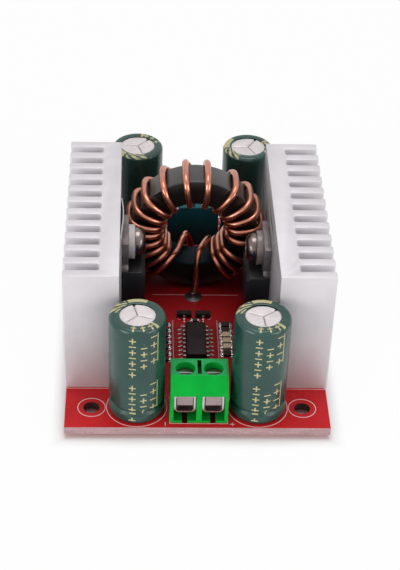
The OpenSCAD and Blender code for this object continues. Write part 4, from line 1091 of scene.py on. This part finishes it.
class ModuleTerminals(bpy.types.Operator):
    """Finish the terminal housings, clamp screws, cages and contacts"""
    bl_idname = "module.terminals"
    bl_label = "Terminals"

    def execute(self, context):
        plastic, metal = context.scene.module_plastic, context.scene.module_metal
        # The notch is painted with near-black shade
        notch = plastic_finish("terminal_notch", shade(plastic.terminal, 0.06), 0.5)
        steel = metal_finish("clamp_steel", metal.steel, 0.26, (0.4, 3.0, 3.0))
        # Clamp screws take the steel at a lower share: painted shade in their wells
        dark = metal_finish("clamp_screw", shade(metal.steel, 0.45), 0.3, (0.4, 3.0, 3.0))
        tin = metal_finish("contact_plate", metal.plate, 0.36, (3.0, 0.4, 3.0))
        # The rear housing's colour carries painted deep shade
        for end, color, top_sheen in (("front", plastic.terminal, TOP_SHEEN), ("rear", plastic.rear, BLACK)):
            # Painted shade inside the wire entries: the housing's colour at half share
            tones = (("moulding", color, 0.4), ("inside", shade(color, 0.5), 0.5),
                     # The top's colour gains the painted sheen
                     ("top", [c + t for c, t in zip(color, top_sheen)], 0.4))
            skin, inside, top = (plastic_finish(f"{end}_{part}", tone, rough, 5.0, 0.012, 1.2, 0.1)
                                 for part, tone, rough in tones)
            node = end + "_terminal"
            refined(node, [skin, inside, notch, top], plastic.edge / MM, 2, 30, moulding_part(node))
            refined(end + "_contacts", [tin], 0.06, 1, 30)
        for pole in CORNERS:
            refined(pole + "_screw", [dark], 0.08, body=pole + "_screw")
            node = pole + "_cage"
            piece_from(node + "_shell", cage_shape(node), [steel], node, body=node, degrees=40)
        return {"FINISHED"}


# Power devices

# How far the top margin of each film waves off its heat sink, and the rows and columns of its mesh
FILM_WAVE = {"left": 0.4, "right": 0.15}
FILM_ROWS, FILM_COLUMNS = 28, 20
# Start of the wave above the tab, height over which it grows and power that shifts its crest
WAVE_START, WAVE_RUN, WAVE_POWER = 0.1, 2, 1.35


def film_shape(side):
    """A thin sheet on a heat sink whose margin above the tab waves away from it."""
    low, high, middle, half = node_box(side + "_film")
    free = node_box(side + "_tab").high.z + WAVE_START
    inward = math.copysign(FILM_WAVE[side], -middle.x)
    bm = bmesh.new()
    skins = []
    for x in (low.x, high.x):
        grid = []
        for i in range(FILM_ROWS + 1):
            z = low.z + 2 * half.z * i / FILM_ROWS
            shares = [k / FILM_COLUMNS for k in range(FILM_COLUMNS + 1)]
            grown = inward * ease((z - free) / WAVE_RUN)
            lifts = [grown * math.sin(math.pi * share ** WAVE_POWER) for share in shares]
            grid.append([bm.verts.new((x + lift, low.y + 2 * half.y * share, z))
                         for share, lift in zip(shares, lifts)])
        for a, b in zip(grid, grid[1:]):
            bridge(bm, a, b, False)
        skins.append(grid)
    for k in (0, -1):
        bridge(bm, *(grid[k] for grid in skins), False)
        bridge(bm, *([row[k] for row in grid] for grid in skins), False)
    bmesh.ops.recalc_face_normals(bm, faces=bm.faces)
    return bm


class ModuleDevices(bpy.types.Operator):
    """Finish the power devices with their tabs, films, bushes and fixing screws"""
    bl_idname = "module.devices"
    bl_label = "Power devices"

    def execute(self, context):
        plastic, metal = context.scene.module_plastic, context.scene.module_metal
        black = plastic_finish("device_moulding", plastic.mould, 0.42, 3.0, 0.02, 1.4)
        tab = metal_finish("device_tab", metal.tab, 0.6, (3.0, 3.0, 0.3), 0.14, 0.25)
        lead = metal_finish("device_tin", metal.solder, 0.26)
        # The right film takes the film colour at a lower share: painted shade beside the right device
        films = {"left": plastic_finish("film_sheet", plastic.film, 0.3, 2.0, 0.02, 0.9),
                 "right": plastic_finish("film_grey", shade(plastic.film, 0.45), 0.3, 2.0, 0.02, 0.9)}
        bushes = {"left": plastic_finish("bush_nylon", plastic.bush, 0.4, 3.0, 0.01, 1.1),
                  "right": plastic_finish("bush_dark", plastic.dark_bush, 0.25, 3.0, 0.01, 1.4, 0.6)}
        steel = metal_finish("fixing_steel", metal.fixing, 0.27, (1, 1, 1), 0.12, 0.25)
        for side in SIDES:
            refined(side + "_device", [black], 0.15, 2, 30)
            refined(side + "_tab", [tab], 0.08)
            refined(side + "_device_leads", [lead], 0.05, 1, 40)
            node = side + "_film"
            piece_from(node + "_sheet", film_shape(side), [films[side]], node)
            refined(side + "_bush", [bushes[side]], 0.12)
            refined(side + "_fixing", [steel], 0.08)
        return {"FINISHED"}


# Trimmers

class ModuleTrimmers(bpy.types.Operator):
    """Finish the trimmers and their adjusting screws"""
    bl_idname = "module.trimmers"
    bl_label = "Trimmers"

    def execute(self, context):
        plastic, metal = context.scene.module_plastic, context.scene.module_metal
        blue = plastic_finish("trimmer_moulding", plastic.trimmer, 0.38, 4.0, 0.012, 1.3)
        brass = metal_finish("trimmer_brass", metal.brass, 0.28)
        tin = metal_finish("trimmer_tin", metal.solder, 0.26)
        for side in SIDES:
            refined(side + "_trimmer", [blue], 0.18, 3, 40)
            refined(side + "_trimmer_screw", [brass], 0.08, body=side + "_trimmer_screw")
            refined(side + "_trimmer_pins", [tin], 0.0)
        return {"FINISHED"}


# Small parts and solder

# Solder under an end cap: how much wider and longer than the cap it is, and its height
PAD_WIDER, PAD_LONGER, PAD_HEIGHT = 0.5, 0.24, 0.2
# Solder at a lead: width, length, height and distance of its middle from the lead's end
FOOT_WIDTH, FOOT_LENGTH, FOOT_HEIGHT, FOOT_BACK = 0.44, 1.5, 0.1, 0.3


def solder_finish(name, color):
    """Solder with a slightly wavy skin."""
    f = Finish(name, Metallic=0.7, IOR=1.6)
    wave = f.noise(1.2)
    fine = f.noise(9.0, 2.0)
    tone = f.clouded(color, 0.8, wave, 0.4, 0.7)
    return f.coat(tone, 0.28, [(wave, 0.16), (fine, 0.08)], wave * 0.8 + fine * 0.2, 0.05, 0.5)


def pad_place(low, high):
    """Solder under a chip's end cap, a little wider than the cap."""
    middle, size = (low + high) / 2, high - low
    return (middle.x, middle.y, BOARD_TOP), (size.x + PAD_WIDER, size.y + PAD_LONGER, PAD_HEIGHT)


def foot_place(low, high, owners):
    """Solder round the outer end of a lead that points away from its body."""
    middle, size = (low + high) / 2, high - low
    owner = min(owners, key=lambda spot: (spot - middle).length)
    axis = 0 if size.x > size.y else 1
    spot, reach = [middle.x, middle.y, BOARD_TOP], [FOOT_WIDTH, FOOT_WIDTH, FOOT_HEIGHT]
    outer = high[axis] if middle[axis] > owner[axis] else low[axis]
    spot[axis] = outer - math.copysign(FOOT_BACK, middle[axis] - owner[axis])
    reach[axis] = FOOT_LENGTH
    return spot, reach


class ModuleSmallParts(bpy.types.Operator):
    """Finish the controller, transistors and chips"""
    bl_idname = "module.small_parts"
    bl_label = "Small parts"

    def execute(self, context):
        plastic, metal = context.scene.module_plastic, context.scene.module_metal
        black = plastic_finish("chip_moulding", plastic.chip, 0.5, 4.0, 0.02, 1.5, 0.12)
        tin = metal_finish("chip_tin", metal.solder, 0.24)
        lead = metal_finish("chip_lead", metal.lead, 0.34)
        dark = plastic_finish("resistor_glaze", (0.022, 0.017, 0.014), 0.25, 3.0, 0.01, 1.6)
        tan = plastic_finish("capacitor_ceramic", plastic.ceramic, 0.4, 3.0, 0.01, 1.2)
        refined("controller", [black], 0.06, 2, 20)
        refined("transistors", [black], 0.04, 2, 20)
        refined("controller_leads", [lead], 0.04)
        refined("transistor_leads", [lead], 0.04)
        refined("chip_resistors", [dark], 0.03, 1, 40)
        refined("chip_capacitors", [tan], 0.04)
        refined("chip_ends", [tin], 0.05)
        places = [pad_place(low, high) for low, high in islands("chip_ends")]
        copies("chip_solder", mound(), places, solder_finish("pad_solder", metal.solder))
        places = []
        for leads, bodies in (("controller_leads", "controller"), ("transistor_leads", "transistors")):
            owners = [(low + high) / 2 for low, high in islands(bodies)]
            places += [foot_place(low, high, owners) for low, high in islands(leads)]
        copies("lead_solder", mound(), places, solder_finish("lead_solder", metal.lead))
        return {"FINISHED"}


class ModuleSolder(bpy.types.Operator):
    """Finish the solder joints, heat sink pins and capacitor leads"""
    bl_idname = "module.solder"
    bl_label = "Solder"

    def execute(self, context):
        bright = solder_finish("solder_bright", context.scene.module_metal.solder)
        for node in ["solder_joints", "heatsink_pins"] + [cap + "_leads" for cap in CAPS]:
            refined(node, [bright], 0.0)
        return {"FINISHED"}


# Stage

# Camera place, and its pitch, yaw and roll
CAMERA_AT = (-11.4, -246.8, 193.6)
CAMERA_TURN = (36.67, 2.90, 2.19)
# Lamps: name, setting that holds the power, and place and size in metres. They look at one point
LAMPS = (("left_light", "key", (-0.55, -0.5, 0.22), 0.36), ("right_light", "fill", (0.55, -0.45, 0.22), 0.36),
         ("top_light", "top", (0.0, 0.1, 0.75), 0.4))
LAMP_AIM = Vector((0, 0, 0.01))
# Half the floor's width
FLOOR_HALF = 2000


def camera_matrix():
    """Camera turned down by pitch, right by yaw and tilted by roll."""
    pitch, yaw, roll = (math.radians(a) for a in CAMERA_TURN)
    matrix = Matrix.Translation(Vector(CAMERA_AT) * MM)
    for angle, axis in ((-yaw, "Z"), (math.pi / 2 - pitch, "X"), (roll, "Z")):
        matrix = matrix @ Matrix.Rotation(angle, 4, axis)
    return matrix


def floor_finish(stage):
    """White floor: it keeps its own shade under and beside the module and turns plain white further out."""
    f = Finish("floor_white", Roughness=0.9, Specular_IOR_Level=0.1)
    x, y, _ = f.axes(f.place())
    outside = (abs(x) - BOARD.half.x).math("MAXIMUM", abs(y) - BOARD.half.y)
    f.put("Base Color", f.mix(f.noise(0.02, 2.0), stage.floor, shade(stage.floor, 0.98)))
    glow = f.node("ShaderNodeEmission", {"Color": (1, 1, 1), "Strength": 1.0})
    share = f.seen() * f.ramp(outside, -0.4, stage.fade / MM, 0.0, 0.94)
    blend = f.node("ShaderNodeMixShader", {0: share, 1: Sock(f, f.bsdf.outputs[0]), 2: glow})
    f.plug(f.out.inputs["Surface"], blend)
    return f.material


class ModuleStage(bpy.types.Operator):
    """Set the floor, the light and the camera"""
    bl_idname = "module.stage"
    bl_label = "Stage"

    def execute(self, context):
        scene, stage = context.scene, context.scene.module_stage
        scene.view_settings.view_transform = "Standard"
        bm = bmesh.new()
        bmesh.ops.create_grid(bm, x_segments=1, y_segments=1, size=FLOOR_HALF)
        show("floor", mesh_from("floor", bm), [floor_finish(stage)])
        scene.world = scene.world or bpy.data.worlds.new("studio")
        scene.world.use_nodes = True
        tree = Tree(scene.world.node_tree)
        seen = tree.seen()
        _, _, rise = tree.axes(tree.node("ShaderNodeTexCoord", output="Generated"))
        ends = tree.ramp(rise, 0.1, 0.45, 1, 0) + tree.ramp(rise, 0.62, 0.9)
        level = (ends * (1 - stage.belt) + stage.belt) * stage.sky
        strength = seen + level - seen * level
        sky = tree.node("ShaderNodeBackground", {"Color": (1, 1, 1), "Strength": strength})
        tree.node("ShaderNodeOutputWorld", {"Surface": sky})
        for name, power, place, size in LAMPS:
            lamp = bpy.data.lights.new(name, "AREA")
            lamp.shape, lamp.size, lamp.energy = "SQUARE", size, getattr(stage, power)
            holder = linked(name, lamp)
            holder.location = place
            holder.rotation_euler = (LAMP_AIM - Vector(place)).to_track_quat("-Z", "Y").to_euler()
        data = bpy.data.cameras.new("photo_camera")
        data.sensor_width, data.lens = 36, stage.lens
        data.clip_start, data.clip_end = 0.01, 20
        scene.camera = linked("photo_camera", data)
        scene.camera.matrix_world = camera_matrix()
        return {"FINISHED"}


class ModulePanel(bpy.types.Panel):
    """Lists the steps that dress the module."""
    bl_idname = "VIEW3D_PT_module"
    bl_label = "Boost converter module"
    bl_space_type = "VIEW_3D"
    bl_region_type = "UI"
    bl_category = "Module"

    def draw(self, context):
        for step in STEPS:
            self.layout.operator(step.bl_idname)


STEPS = (ModuleStage, ModuleBoard, ModuleHeatsinks, ModuleCoil, ModuleCapacitors, ModuleTerminals,
         ModuleDevices, ModuleTrimmers, ModuleSmallParts, ModuleSolder)
CLASSES = (*SETTINGS.values(), *STEPS, ModulePanel)


def register():
    for cls in CLASSES:
        bpy.utils.register_class(cls)
    for name, cls in SETTINGS.items():
        setattr(bpy.types.Scene, name, PointerProperty(type=cls))


def unregister():
    for name in SETTINGS:
        delattr(bpy.types.Scene, name)
    for cls in reversed(CLASSES):
        bpy.utils.unregister_class(cls)


def main():
    register()
    for step in STEPS:
        group, name = step.bl_idname.split(".")
        getattr(getattr(bpy.ops, group), name)()


if __name__ == "__main__":
    main()
